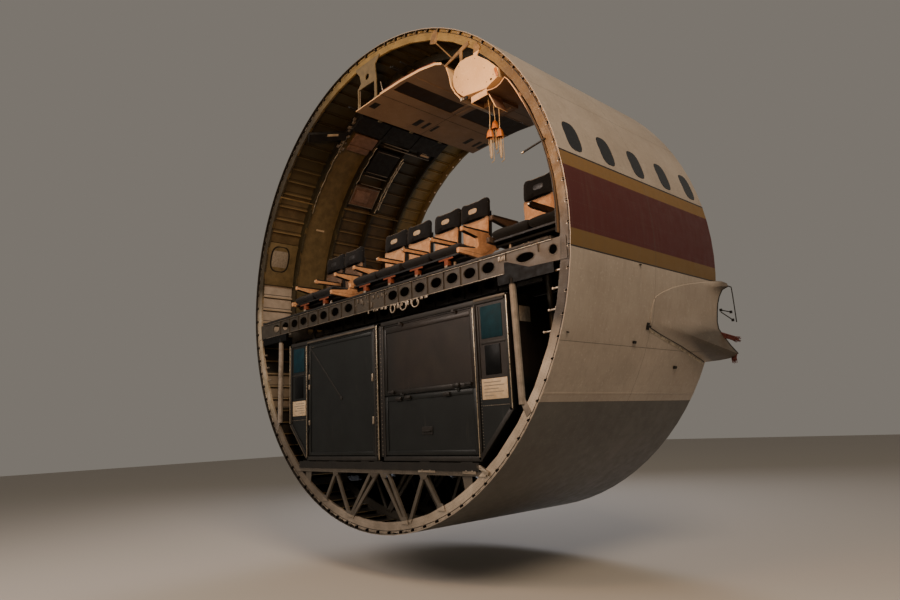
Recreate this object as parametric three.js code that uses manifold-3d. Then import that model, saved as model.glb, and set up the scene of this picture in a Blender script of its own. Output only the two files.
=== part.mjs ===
// A cut-out barrel of a twin-aisle airliner's fuselage: painted skin on stringers and ring frames,
// a cabin floor with a row of seats, ceiling, stowage bin and masks above it, and a cargo hold
// with two containers below it. Lengths are millimetres.
// +X is the barrel's right, +Y runs along its axis from the near cut to the far cut, +Z is up.
// The origin is on the barrel's axis, in the plane of the near cut.
import * as THREE from 'three';
import { mergeVertices } from 'three/addons/utils/BufferGeometryUtils.js';
import Module from 'manifold-3d';

const wasm = await Module();
wasm.setup();

// Barrel
const SKIN_R = 2820;
const SKIN_T = 8;
const LENGTH = 2650;
const FACETS = 90;
const FACET_DEG = 360 / FACETS;
const STRINGER = { web: 3, height: 28, flange: 18 };
const FIT = 0.3;
const RUN = 6;
const INNER_R = SKIN_R - SKIN_T;

// Ring frames, one for each bay of 533 mm
const BAY = 533;
const RING_Y = [30, 565, 1098, 1631, 2164, 2615];
const RING_T = 6;
const RING_IN = 2697;
const RING_FACETS = FACETS / 2;
const RING_OUT = INNER_R - (STRINGER.height + FIT) / Math.cos(Math.PI / FACETS);

// Windows, both sides
const WINDOW = { firstY: 300, z: 790, wide: 225, high: 320, count: 5 };
const BARE_FACETS = { right: [3, 4], left: [40, 41] };

// Cabin floor
const FLOOR_Z = -190;
const BEAM = { depth: 195, web: 6, lip: 4, lipReach: 40, half: 2745 };
const BEAM_HOLES = [
  -2238, -1987, -1746, -1514, -1267, -1030, -768, -477,
  377, 587, 837, 1097, 1337, 1585, 1833,
];
const HOLE = { z: FLOOR_Z - 95, wide: 160, high: 105, sides: 8, nearSides: 14 };
const END_HOLES = [
  // x, width, height
  [2289, 208, 84],
  [2603, 88, 86],
];
const HOLED_BEAMS = [0, 1, 5];
const DECK = { low: FLOOR_Z + FIT, thick: 25, half: 2600, front: 5, back: 2640 };
const DECK_TOP = DECK.low + DECK.thick;
const STRUT = { r: 32, topX: 2112, footX: 2137, footZ: -1572, headZ: -440 };
const STRUT_HEAD = { inner: 1950, outer: 2600, low: -485, front: 12, thick: 40 };

// Hold
const CHORD = { top: -2145, bottom: -2190 };
const TRUSS = [
  // xTop, xFoot
  [-790, -1020],
  [-790, -530],
  [-100, -510],
  [25, -470],
  [80, 450],
  [200, 500],
  [790, 545],
  [790, 1030],
];
const TRUSS_BAR = 40;
const GUSSET = { inner: 1330, outer: 1470, foot: 1370 };
const TRACK_X = [-1430, -830, -180, 60, 830, 1430];
const TRACK = { wide: 150, top: -2060 - FIT, board: 14, half: 1590 };

// Containers, with the lower outboard corner cut off; the left one is the right one mirrored
const BOX = {
  inner: 120, outer: 2050, top: -560, low: -2060,
  slopeZ: -1615, slopeX: 1624, front: 20, back: 1540, wall: 28,
};
const MIRROR_X = 210;
const DOOR = { from: 200, to: 1600, top: -630, fold: -1380, low: -2000, thick: 26, pivotY: 10 };

// Ceiling panel and stowage bin, as sections of [x, z]
const CEILING = [[-214, 2135], [279, 2150], [657, 2147], [1008, 2122], [1254, 2077], [1352, 2034]];
const CEILING_T = 14;
const CEILING_BACK = 2040;
const CABIN_BACK = 2640;
const HANGER = [
  [-222, 2688], [-222, 2704], [267, 2704], [267, 2690],
  [170, 2610], [193, 2400], [-188, 2407], [-120, 2480], [-140, 2580],
];
const HANGER_HOLE = { x: 10, z: 2516, size: 80 };
const BIN = { front: 14, back: 520, wall: 14 };
const BIN_SECTION = [
  [1833, 1925], [1700, 1948], [1603, 1940], [1535, 1890], [1500, 1800], [1508, 1715],
  [1558, 1625], [1640, 1548], [1954, 1500], [2120, 1555], [2125, 1640], [2000, 1780],
];
const BIN_DOOR = [[1402, 1978], [1436, 1872], [1460, 1738], [1518, 1632], [1596, 1536]];
const BIN_HINGE = { x: 1392, z: 2008, r: 13 };
const BIN_ARM = [[1805, 1910], [1850, 1900], [1905, 1975], [1862, 2055], [1815, 2040]];
const BIN_STAY = [[1386, 2019], [1392, 1997], [1752, 2080], [1740, 2125], [1700, 2120]];
const CROWN_TAB = [[1236, 2520], [1290, 2470], [1266, 2335], [1161, 2376], [1180, 2440]];
const BIN_DOOR_T = 12;
const SERVICE_UNIT = { from: 1740, to: 1960, low: 1432, top: 1499.5, front: 20, back: 480, wall: 8 };
const LID = { x: 1972, z: 1440, front: 30, back: 200, long: 190, thick: 4, hang: 25 };
const LINER = [
  [SERVICE_UNIT.to + FIT, 1467], [2030, 1449], [2096, 1446], [2149, 1461], [2205, 1500],
  [2241, 1460], [2328, 1310], [2431, 1098],
  [2528, 863], [2576, 725], [2616, 560], [2655, 333], [2668, 120], [2660, -150],
];
const LINER_T = 8;
const LINER_CLIPS = [
  // angle on the ring frame, height
  [12, 11],
  [28, 15],
];
const MASKS = [
  // x, y, z of the mask's top, below the service unit, and how far its hose bows out
  [1860, 140, 1140, 10],
  [1893, 186, 1235, -8],
];
const MASK = { r: 40, high: 92, hose: 4 };

// Seats
const SEAT_PITCH = 515;
const SEAT_UNITS = [
  // name, x of the centre, number of seats
  ['left', -1995, 2],
  ['centre', 0, 4],
  ['right', 1995, 2],
];
const CUSHION = { front: 450, back: 900, low: 132, top: 262, roll: 65, slope: 12, gap: 6 };
const BACK = {
  pivotY: 985, pivotZ: 268,
  // y, z of the side view: leather to the headrest's lower edge, then the headrest
  side: [
    [938, 246], [936, 300], [950, 450], [968, 630], [962, 655], [970, 760], [982, 865],
    [1000, 900], [1025, 905], [1052, 890], [1064, 850], [1040, 600], [1021, 246],
  ],
  // half of x, z of the front view
  half: [[198, 246], [206, 380], [222, 540], [230, 640], [230, 850], [222, 880], [196, 905]],
};
const PAN = { front: 470, back: 905, low: 112, top: CUSHION.low - FIT };
const SEAT_BEAM = { r: 23, frontY: 560, rearY: 850, z: 92 };
const ARM = { pivotY: 934, pivotZ: 396, r: 25, front: 486, from: -13.7, to: 20 };
const PIN_INSIDE = 90;
const PIVOT_BOSS = { r: 13, reach: 27 };
const ARM_PLATE = {
  from: -22, to: -14,
  profile: [
    [840, 85], [900, 85], [1010, 235], [1010, 290], [958, 305],
    [958, 416], [912, 416], [912, 126], [860, 110],
  ],
};
const END_PANEL = {
  half: 18,
  profile: [
    // y, z
    [487, 418], [487, 374], [720, 332], [738, 240], [700, 196], [422, 168],
    [422, 116], [766, 88], [890, 140], [1010, 225], [1060, 240], [1060, 275],
    [1010, 300], [945, 320], [930, 372], [890, 418],
  ],
};
const SEAT_LEG = { r: 17, inset: 190 };

// Fairing stub on the right side: a flared sheet, with its edge at the far cut as [x, z], and the
// angles on the skin between which it lies
const FAIRING_EDGE = [
  [2806, -283], [2870, -300], [2925, -335], [2932, -367], [2861, -393], [2819, -459],
  [2793, -532], [2774, -630], [2760, -740], [2767, -818], [2816, -913], [2879, -1019],
  [2943, -1108], [2920, -1128], [2851, -1146], [2740, -1156], [2559, -1153],
];
const FAIRING_ROWS = [
  // y, top angle, bottom angle, share of the lip's flare, share of the skirt's flare
  [1330, -14.6, -16.4, 0, 0],
  [1345, -13.2, -17.6, 0, 0.01],
  [1372, -12.1, -18.2, 0, 0.02],
  [1440, -11.3, -18.5, 0, 0.03],
  [1540, -10.5, -19.0, 0, 0.05],
  [1700, -9.4, -19.7, 0, 0.09],
  [1900, -8.4, -20.6, 0, 0.18],
  [2100, -7.6, -21.5, 0.02, 0.31],
  [2280, -7.0, -22.4, 0.05, 0.48],
  [2420, -6.5, -23.1, 0.1, 0.65],
  [2500, -6.3, -23.5, 0.22, 0.77],
  [2570, -6.0, -23.9, 0.5, 0.88],
  [2620, -5.9, -24.1, 0.8, 0.96],
  [2649, -5.8, -24.3, 1, 1],
];
const FAIRING = { lipEnds: 0.3, skirtStarts: 0.45, least: 10, wall: 12, past: 60, floorR: SKIN_R - 60 };

// Pieces fixed to the left wall, by facet of the skin, and the liner beside the hold
const TRIM = { first: 29, last: 47, deep: 6, from: 572, to: 1091 };
const DUCT = { first: 29.8, last: 32.1, deep: 86, from: 1180, to: 1600 };
const PAD = { first: 33.4, last: 35.1, deep: 64, from: 1150, to: 1600 };
// Dark trays on the wall beside the ceiling, from the second ring to the fifth, and their lamps
const TRAYS = [
  // y from, y to
  [545, 1035],
  [1050, 1575],
  [1590, 2100],
];
const TRAY = { angle: 111.2, wide: 288, high: 70, backWide: 200, backHigh: 14 };
const TRAY_LAMP = { angle: 115, wide: 130, high: 62, from: 1800, to: 2020 };
const SLANT_LAMP = { angle: 119.65, y: 290, long: 530, wide: 127, inner: 2635, outer: 2685, slant: -22.9 };
const LAMP_ARM = { angle: 115.6, wide: 167, high: 14, from: 505, to: 600 };
const HOLD_LINER = { thick: 6, from: 42, to: 2636 };

const paint = (colour, roughness, metalness = 0) =>
  new THREE.MeshStandardMaterial({ color: colour, roughness, metalness });
const LOOK = {
  skin: paint('#b9b1a3', 0.45),
  primer: paint('#8d7a45', 0.6),
  aluminium: paint('#a9a294', 0.4, 0.8),
  steel: paint('#2b2a29', 0.5, 0.6),
  panel: paint('#cfc2a8', 0.6),
  fabric: paint('#2e3138', 0.9),
  leather: paint('#c08d5c', 0.8),
  board: paint('#3d3a36', 0.7),
  mask: paint('#d9731f', 0.5),
};

const root = new THREE.Group();
export default root;
function solid(geometry) {
  const bare = geometry.clone();
  bare.deleteAttribute('normal');
  bare.deleteAttribute('uv');
  const merged = mergeVertices(bare, 1e-4);
  return new wasm.Manifold(new wasm.Mesh({
    numProp: 3,
    vertProperties: new Float32Array(merged.attributes.position.array),
    triVerts: new Uint32Array(merged.index.array),
  }));
}

function add(name, shape, look, parent = root) {
  const { vertProperties, triVerts } = shape.getMesh();
  const geometry = new THREE.BufferGeometry();
  geometry.setAttribute('position', new THREE.BufferAttribute(vertProperties, 3));
  geometry.setIndex(new THREE.BufferAttribute(triVerts, 1));
  geometry.computeVertexNormals();
  const mesh = new THREE.Mesh(geometry, look);
  mesh.name = name;
  parent.add(mesh);
  return mesh;
}

const join = (...shapes) => shapes.reduce((whole, next) => whole.add(next));

// A box between two corners
function slab(x0, x1, y0, y1, z0, z1) {
  const geometry = new THREE.BoxGeometry(x1 - x0, y1 - y0, z1 - z0);
  geometry.translate((x0 + x1) / 2, (y0 + y1) / 2, (z0 + z1) / 2);
  return solid(geometry);
}

function outline(points) {
  return new THREE.Shape(points.map(([u, v]) => new THREE.Vector2(u, v)));
}

function counterClockwise(points) {
  const area = points.reduce((sum, [u, v], k) => {
    const [a, b] = points[(k + 1) % points.length];
    return sum + u * b - a * v;
  }, 0);
  return area > 0 ? points : [...points].reverse();
}

// Prisms: an outline of [x, z] drawn along Y, and one of [y, z] drawn along X
function alongY(points, y0, y1, holes = []) {
  const shape = outline(counterClockwise(points));
  shape.holes = holes.map((hole) => new THREE.Path(hole.map(([u, v]) => new THREE.Vector2(u, v))));
  const geometry = new THREE.ExtrudeGeometry(shape, { depth: y1 - y0, bevelEnabled: false });
  geometry.rotateX(Math.PI / 2);
  geometry.translate(0, y1, 0);
  return solid(geometry);
}

function alongX(points, x0, x1) {
  const shape = outline(counterClockwise(points));
  const geometry = new THREE.ExtrudeGeometry(shape, { depth: x1 - x0, bevelEnabled: false });
  const turn = new THREE.Matrix4().makeBasis(
    new THREE.Vector3(0, 1, 0), new THREE.Vector3(0, 0, 1), new THREE.Vector3(1, 0, 0));
  geometry.applyMatrix4(turn);
  geometry.translate(x0, 0, 0);
  return solid(geometry);
}

function alongZ(points, z0, z1) {
  const geometry = new THREE.ExtrudeGeometry(outline(counterClockwise(points)), {
    depth: z1 - z0, bevelEnabled: false,
  });
  geometry.translate(0, 0, z0);
  return solid(geometry);
}

// A straight round bar between two points
function rod(from, to, radius, sides = 8) {
  const a = new THREE.Vector3(...from);
  const b = new THREE.Vector3(...to);
  const geometry = new THREE.CylinderGeometry(radius, radius, a.distanceTo(b), sides);
  const way = b.clone().sub(a).normalize();
  geometry.applyQuaternion(new THREE.Quaternion().setFromUnitVectors(new THREE.Vector3(0, 1, 0), way));
  geometry.translate((a.x + b.x) / 2, (a.y + b.y) / 2, (a.z + b.z) / 2);
  return solid(geometry);
}

// A bar of round section along a curve
function pipe(points, radius, steps, sides = 8) {
  const ring = Array.from({ length: sides }, (_, k) => {
    const turn = (2 * Math.PI * k) / sides;
    return [radius * Math.cos(turn), radius * Math.sin(turn)];
  });
  const path = new THREE.CatmullRomCurve3(points.map((point) => new THREE.Vector3(...point)));
  const geometry = new THREE.ExtrudeGeometry(outline(ring), {
    steps, extrudePath: path, bevelEnabled: false,
  });
  return solid(geometry);
}

const polar = (radius, degrees) => {
  const turn = THREE.MathUtils.degToRad(degrees);
  return [radius * Math.cos(turn), radius * Math.sin(turn)];
};

// An oval of [x, z] or [y, z] points, counted round its middle
function oval(u, v, wide, high, sides, power = 2) {
  return Array.from({ length: sides }, (_, k) => {
    const turn = (2 * Math.PI * (k + 0.5)) / sides;
    const cu = Math.cos(turn);
    const cv = Math.sin(turn);
    const pull = (c) => Math.sign(c) * Math.abs(c) ** (2 / power);
    return [u + (wide / 2) * pull(cu), v + (high / 2) * pull(cv)];
  });
}

// Skin panels: an outer arc of flat facets, with an angle stringer at the middle of each facet
function stringerProfile(facet) {
  const turn = THREE.MathUtils.degToRad((facet + 0.5) * FACET_DEG);
  const apothem = INNER_R * Math.cos(Math.PI / FACETS);
  const { web, height, flange } = STRINGER;
  const section = [
    [-web / 2, 0], [-web / 2, height], [flange, height],
    [flange, height - web], [web / 2, height - web], [web / 2, 0],
  ];
  return section.map(([u, v]) => [
    (apothem - v) * Math.cos(turn) - u * Math.sin(turn),
    (apothem - v) * Math.sin(turn) + u * Math.cos(turn),
  ]);
}

function skinOutline(firstFacet, lastFacet, bare) {
  const joint = THREE.MathUtils.radToDeg(FIT / 2 / SKIN_R);
  const start = firstFacet * FACET_DEG + joint;
  const end = lastFacet * FACET_DEG - joint;
  const outer = [polar(SKIN_R, start)];
  const inner = [polar(INNER_R, start)];
  for (let facet = firstFacet; facet < lastFacet; facet += 1) {
    if (!bare.includes(facet)) inner.push(...stringerProfile(facet));
    const edge = facet + 1 < lastFacet ? (facet + 1) * FACET_DEG : end;
    outer.push(polar(SKIN_R, edge));
    inner.push(polar(INNER_R, edge));
  }
  return [...outer, ...inner.reverse()];
}

function skinPanel(name, firstFacet, lastFacet) {
  add(name, alongY(skinOutline(firstFacet, lastFacet, []), 0, LENGTH), LOOK.skin);
}

function windowPanel(name, firstFacet, lastFacet, side, bare) {
  let panel = alongY(skinOutline(firstFacet, lastFacet, bare), 0, LENGTH);
  const reach = side > 0 ? [SKIN_R - 250, SKIN_R + 20] : [-SKIN_R - 20, -SKIN_R + 250];
  for (let k = 0; k < WINDOW.count; k += 1) {
    const opening = oval(WINDOW.firstY + k * BAY, WINDOW.z, WINDOW.wide, WINDOW.high, 16, 3);
    panel = panel.subtract(alongX(opening, ...reach));
  }
  add(name, panel, LOOK.skin);
}

// Ring frames, each with the truss that carries the hold floor
function circle(radius, facets) {
  return Array.from({ length: facets }, (_, k) => polar(radius, (k * 360) / facets));
}

function ringZ(x) {
  return -Math.sqrt(RING_IN * RING_IN - x * x);
}

// A block against the inside of the ring frames, at an angle on the ring
function ringBlock(degrees, wide, high, y0, y1) {
  const turn = THREE.MathUtils.degToRad(degrees);
  const pitch = 360 / RING_FACETS;
  const apothem = RING_IN * Math.cos(Math.PI / RING_FACETS);
  const limits = [-1, 0, 1].flatMap((step) => {
    const facet = (Math.floor(degrees / pitch) + step + 0.5) * pitch;
    const lean = THREE.MathUtils.degToRad(facet - degrees);
    return [-wide / 2, wide / 2].map((u) => (apothem - u * Math.sin(lean)) / Math.cos(lean));
  });
  const seat = Math.min(...limits) - FIT;
  const corner = (u, v) => [
    (seat - v) * Math.cos(turn) - u * Math.sin(turn),
    (seat - v) * Math.sin(turn) + u * Math.cos(turn),
  ];
  return alongY([
    corner(-wide / 2, 0), corner(wide / 2, 0), corner(wide / 2, high), corner(-wide / 2, high),
  ], y0, y1);
}

function trussBar(xTop, xFoot, y0, y1) {
  const foot = [xFoot, ringZ(xFoot) - 20];
  const head = [xTop, CHORD.bottom + 10];
  const length = Math.hypot(head[0] - foot[0], head[1] - foot[1]);
  const side = [(head[1] - foot[1]) / length, -(head[0] - foot[0]) / length];
  const half = TRUSS_BAR / 2;
  const corner = ([x, z], sign) => [x + sign * half * side[0], z + sign * half * side[1]];
  return alongY([corner(foot, -1), corner(foot, 1), corner(head, 1), corner(head, -1)], y0, y1);
}

function gusset(side, y0, y1) {
  const { inner, outer, foot } = GUSSET;
  return alongY([
    [side * inner, CHORD.top - 5], [side * outer, CHORD.top - 5],
    [side * outer, ringZ(outer) - 10], [side * foot, ringZ(foot) - 10],
  ], y0, y1);
}

function ringFrame(y, index) {
  const y0 = y - RING_T / 2;
  const y1 = y + RING_T / 2;
  const reach = Math.sqrt(RING_IN ** 2 - CHORD.top ** 2) + 25;
  add(`ring_frame_${index + 1}`, join(
    alongY(circle(RING_OUT, FACETS), y0, y1, [circle(RING_IN, RING_FACETS).reverse()]),
    slab(-reach, reach, y0 - 14, y1 + 14, CHORD.bottom, CHORD.top),
    gusset(1, y0, y1), gusset(-1, y0, y1),
    ...TRUSS.map(([xTop, xFoot]) => trussBar(xTop, xFoot, y0 - 10, y1 + 10)),
  ), LOOK.aluminium);
}

// Floor beams: a web with lightening holes, cut up at its right end, with lips along it
const BEAM_LOW = FLOOR_Z - BEAM.depth;
const BEAM_RIGHT = [
  [2040, BEAM_LOW], [2040, BEAM_LOW + 105], [2078, BEAM_LOW + 100],
  [2330, BEAM_LOW + 4], [BEAM.half, BEAM_LOW - 10], [BEAM.half, FLOOR_Z],
];
const BEAM_LEFT = [[-BEAM.half, FLOOR_Z], [-BEAM.half, BEAM_LOW]];

function sideStrut(side, ringY, top) {
  const foot = [side * STRUT.footX, ringY, STRUT.footZ];
  const back = ringY - RING_T / 2 - FIT;
  const lug = alongY([
    [side * 2105, STRUT.footZ + 60], [side * 2168, STRUT.footZ + 60],
    [side * 2235, STRUT.footZ - 70], [side * 2180, STRUT.footZ - 110],
  ], back - BEAM.web, back);
  return join(rod([side * STRUT.topX, ringY, top], foot, STRUT.r, 10), lug);
}

function floorBeam(ringY, index) {
  const back = ringY - RING_T / 2 - FIT;
  const front = back - BEAM.web;
  const profile = [...BEAM_RIGHT, ...BEAM_LEFT];
  const sides = index === 0 ? HOLE.nearSides : HOLE.sides;
  const sizes = [...BEAM_HOLES.map((x) => [x, HOLE.wide, HOLE.high]), ...END_HOLES];
  const holes = HOLED_BEAMS.includes(index)
    ? sizes.map(([x, wide, high]) => oval(x, HOLE.z, wide, high, sides).reverse()) : [];
  const parts = [
    alongY(profile, front, back, holes),
    slab(-2590, 2590, front, back + BEAM.lipReach, FLOOR_Z - BEAM.lip, FLOOR_Z),
    slab(-2590, 2030, front, back + BEAM.lipReach, BEAM_LOW, BEAM_LOW + BEAM.lip),
  ];
  if (index > 0) parts.push(sideStrut(1, ringY, BEAM_LOW + 110), sideStrut(-1, ringY, BEAM_LOW + 2));
  add(`floor_beam_${index + 1}`, join(...parts), LOOK.aluminium);
}

// At the near cut each strut has a dark head that fits up under the beam's end
function nearStrut(name, side) {
  const { inner, outer, low, front, thick } = STRUT_HEAD;
  const under = side < 0 ? [] : BEAM_RIGHT.slice(0, 4).map(([x, z]) => [x + 2 * FIT, z - 2 * FIT]);
  const edge = BEAM_LOW - 2 * FIT;
  const head = alongY([
    [side * inner, low], [side * inner, edge], ...under,
    [side * outer, side < 0 ? edge : edge - 6], [side * outer, low],
  ], front, front + thick);
  add(name, join(head, sideStrut(side, RING_Y[0], STRUT.headZ)), LOOK.aluminium);
}

function deck() {
  const { low, half, front, back } = DECK;
  add('cabin_deck', slab(-half, half, front, back, low, DECK_TOP), LOOK.board);
}

function holdFloor() {
  const seat = CHORD.top + FIT;
  const board = seat + TRACK.board;
  const tracks = TRACK_X.map((x) => slab(
    x - TRACK.wide / 2, x + TRACK.wide / 2, 4, DECK.back, board - 2, TRACK.top));
  const sill = slab(-TRACK.half, TRACK.half, 2, 26, seat, TRACK.top - 8);
  add('hold_floor', join(
    slab(-TRACK.half, TRACK.half, 20, DECK.back, seat, board), sill, ...tracks), LOOK.aluminium);
}

// Containers
const mirrored = (points) => points.map(([x, z]) => [MIRROR_X - x, z]);

// Hinge knuckles: a round barrel on the pivot with a tongue that runs into its leaf or frame
const PIVOT_R = 9.5;
function knuckleX(x, z, way) {
  const y = DOOR.pivotY;
  const ends = [z + way * 4, z + way * 24].sort((a, b) => a - b);
  return join(
    alongX(oval(y, z, 2 * PIVOT_R, 2 * PIVOT_R, 12), x, x + 30),
    slab(x, x + 30, y - 7, y + 12, ...ends));
}

function knuckleZ(x, z, way) {
  const y = DOOR.pivotY;
  const ends = [x + way * 4, x + way * 24].sort((a, b) => a - b);
  return join(
    alongZ(oval(x, y, 2 * PIVOT_R, 2 * PIVOT_R, 12), z, z + 30),
    slab(...ends, y - 7, y + 12, z, z + 30));
}

const HINGE_STOPS = [0.2, 0.8];
const TOP_HINGE_Z = DOOR.top + RUN / 2;
const LEFT_HINGE_X = MIRROR_X - DOOR.to - RUN / 2;
const alongDoor = (share) => DOOR.from + share * (DOOR.to - DOOR.from);
const upDoor = (share) => DOOR.low + share * (DOOR.top - DOOR.low);

function containerBody(name, place, hinges) {
  const { inner, outer, top, low, slopeZ, slopeX, front, back, wall } = BOX;
  const outside = [[inner, low], [slopeX, low], [outer, slopeZ], [outer, top], [inner, top]];
  const inside = [
    [inner + wall, low + wall], [slopeX - 12, low + wall],
    [outer - wall, slopeZ + 12], [outer - wall, top - wall], [inner + wall, top - wall],
  ];
  const gap = [
    [DOOR.from - RUN, DOOR.low - RUN], [DOOR.to + RUN, DOOR.low - RUN],
    [DOOR.to + RUN, DOOR.top + RUN], [DOOR.from - RUN, DOOR.top + RUN],
  ];
  const shell = alongY(place(outside), front, back)
    .subtract(alongY(place(inside), front + wall, back - wall))
    .subtract(alongY(place(gap), front - 5, front + wall + 5));
  add(name, join(shell, ...hinges), LOOK.board);
}

function containers() {
  const { from, to, top, fold, low, thick } = DOOR;
  const { front } = BOX;
  const leaf = (z0, z1) => slab(from, to, front, front + thick, z0, z1);
  const across = (z, way, shift) => HINGE_STOPS.map(
    (share) => knuckleX(alongDoor(share) + shift, z, way));
  const upright = (way, shift) => HINGE_STOPS.map(
    (share) => knuckleZ(LEFT_HINGE_X, upDoor(share) + shift, way));
  const pair = 30 + FIT;
  containerBody('container_right', (points) => points, across(TOP_HINGE_Z, 1, 0));
  containerBody('container_left', mirrored, upright(-1, 0));
  add('container_right_upper_leaf', join(
    leaf(fold + RUN / 2, top), ...across(TOP_HINGE_Z, -1, pair), ...across(fold, 1, 0)), LOOK.board);
  add('container_right_lower_leaf', join(
    leaf(low, fold - RUN / 2), ...across(fold, -1, pair)), LOOK.board);
  add('container_left_door', join(
    slab(MIRROR_X - to, MIRROR_X - from, front, front + thick, low, top),
    ...upright(1, pair)), LOOK.board);
}

// Ceiling, its hangers, the stowage bin, its door and the service unit below it
function band(points, thick, sign) {
  const offset = points.map(([x, z], k) => {
    const [x0, z0] = points[Math.max(k - 1, 0)];
    const [x1, z1] = points[Math.min(k + 1, points.length - 1)];
    const length = Math.hypot(x1 - x0, z1 - z0);
    return [x - (sign * thick * (z1 - z0)) / length, z + (sign * thick * (x1 - x0)) / length];
  });
  return [...points, ...offset.reverse()];
}

function ceiling() {
  add('ceiling_panel', alongY(band(CEILING, CEILING_T, 1), 2, CEILING_BACK), LOOK.panel);
  const [[x0, z0], [x1, z1]] = CEILING;
  const above = (u) => z0 + ((u - x0) * (z1 - z0)) / (x1 - x0) + CEILING_T + FIT;
  const { x, z, size } = HANGER_HOLE;
  const plates = RING_Y.filter((y) => y < CEILING_BACK).map((y) => {
    const back = y - RING_T / 2 - FIT;
    const hole = oval(x, z, size, size, 12).reverse();
    return join(
      alongY(HANGER, back - 12, back, [hole]),
      slab(150, 190, back - 12, back, above(200) + 20, HANGER[5][1] + 20),
      slab(-188, -168, back - 12, back, above(-155) + 20, HANGER[6][1] + 20),
    );
  });
  add('ceiling_hangers', join(
    slab(130, 200, 14, CEILING_BACK, above(200), above(200) + 24),
    slab(-195, -155, 14, CEILING_BACK, above(-155), above(-155) + 24), ...plates), LOOK.primer);
}

function shrink(points, wall) {
  const cx = points.reduce((sum, [x]) => sum + x, 0) / points.length;
  const cz = points.reduce((sum, [, z]) => sum + z, 0) / points.length;
  return points.map(([x, z]) => {
    const pull = 1 - wall / Math.hypot(x - cx, z - cz);
    return [cx + (x - cx) * pull, cz + (z - cz) * pull];
  });
}

function stowageBin() {
  const { front, back, wall } = BIN;
  const hollow = alongY(shrink(BIN_SECTION, wall + 6), front + wall, back - wall);
  const mouth = slab(1400, 1570, front + 2 * wall, back - 2 * wall, 1650, 1870);
  const face = RING_Y[0] - RING_T / 2 - FIT;
  const { x, z, r } = BIN_HINGE;
  const barrel = alongY(oval(x, z, 2 * r, 2 * r, 12), face - 10, face);
  add('stowage_bin', join(
    alongY(BIN_SECTION, front, back).subtract(hollow).subtract(mouth),
    alongY(BIN_ARM, face - 10, face), alongY(BIN_ARM, back - 10, RING_Y[1] - RING_T / 2 - FIT),
    alongY(BIN_STAY, face - 10, face), barrel, slab(1610, 1650, face - 10, face, 1930, 2060),
    alongY(CROWN_TAB, face - 4, face), rod([1215, face - 7, 2400], [1500, face - 7, 2045], 7, 8),
  ), LOOK.panel);
  const knuckleY = [face + FIT, face + 14];
  const knuckle = join(
    alongY(oval(x, z, 2 * r, 2 * r, 12), ...knuckleY),
    alongY([[1384, 2004], [1400, 2008], [1414, 1960], [1402, 1955]], ...knuckleY));
  add('stowage_bin_door', join(
    alongY(band(BIN_DOOR, BIN_DOOR_T, 1), front, back), knuckle), LOOK.panel);
}

function serviceUnit() {
  const { from, to, low, top, front, back, wall } = SERVICE_UNIT;
  const lug = alongY(oval(LID.x, LID.z, 14, 14, 8), LID.back + FIT, LID.back + 14);
  add('service_unit', join(
    slab(from, to, front, back, low, top)
      .subtract(slab(from + wall, to - wall, front + wall, LID.back, low - 5, top - wall)),
    lug, slab(to - 2, LID.x, LID.back + FIT, LID.back + 14, LID.z - 6, LID.z + 6)), LOOK.panel);
  const turn = THREE.MathUtils.degToRad(LID.hang);
  const dx = Math.sin(turn);
  const dz = -Math.cos(turn);
  const edge = (along, across) => [
    LID.x + along * dx - across * dz, LID.z + along * dz + across * dx];
  const half = LID.thick / 2;
  const plate = [edge(5, -half), edge(LID.long, -half), edge(LID.long, half), edge(5, half)];
  const lid = alongY(plate, LID.front, LID.back);
  const barrel = alongY(oval(LID.x, LID.z, 14, 14, 8), LID.front, LID.back);
  add('mask_lid', join(lid, barrel), LOOK.panel);
}

function masks() {
  const ceilingZ = SERVICE_UNIT.top - SERVICE_UNIT.wall - FIT;
  MASKS.forEach(([x, y, z, bow], index) => {
    const { r, high } = MASK;
    const cup = [[0, 0], [r, 0], [r, 12], [r * 0.8, high * 0.7], [12, high], [0, high]];
    const geometry = new THREE.LatheGeometry(cup.map(([u, v]) => new THREE.Vector2(u, v)), 14);
    geometry.rotateX(Math.PI / 2);
    geometry.translate(x, y, z - high);
    add(`oxygen_mask_${index + 1}`, solid(geometry), LOOK.mask);
    const route = [
      [x, y, z + FIT], [x, y, z + 40], [x + bow, y, (z + ceilingZ) / 2],
      [x, y, ceilingZ - 40], [x, y, ceilingZ],
    ];
    add(`mask_hose_${index + 1}`, pipe(route, MASK.hose, 8), LOOK.panel);
  });
}

function sidewallLiner() {
  let liner = alongY(band(LINER, LINER_T, 1), 4, CABIN_BACK);
  for (let k = 0; k < WINDOW.count; k += 1) {
    const hole = oval(WINDOW.firstY + k * BAY, WINDOW.z, WINDOW.wide + 30, WINDOW.high + 30, 12, 3);
    liner = liner.subtract(alongX(hole, 2400, 2750));
  }
  const clips = RING_Y.flatMap((y) => LINER_CLIPS.map(
    ([angle, high]) => ringBlock(angle, 40, high, y - 12, y + 12)));
  add('sidewall_liner', join(liner, ...clips), LOOK.panel);
}

// Sector between two radii that follows the skin's facets
function sector(outerR, depth, first, last, y0, y1) {
  const stops = [first];
  for (let facet = Math.floor(first) + 1; facet < last; facet += 1) stops.push(facet);
  stops.push(last);
  const onFacet = (radius, stop) => {
    const low = Math.floor(stop);
    const share = stop - low;
    const [ax, az] = polar(radius, low * FACET_DEG);
    const [bx, bz] = polar(radius, (low + 1) * FACET_DEG);
    return [ax + (bx - ax) * share, az + (bz - az) * share];
  };
  const outer = stops.map((stop) => onFacet(outerR, stop));
  const inner = stops.map((stop) => onFacet(outerR - depth, stop));
  return alongY([...outer, ...inner.reverse()], y0, y1);
}

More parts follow.
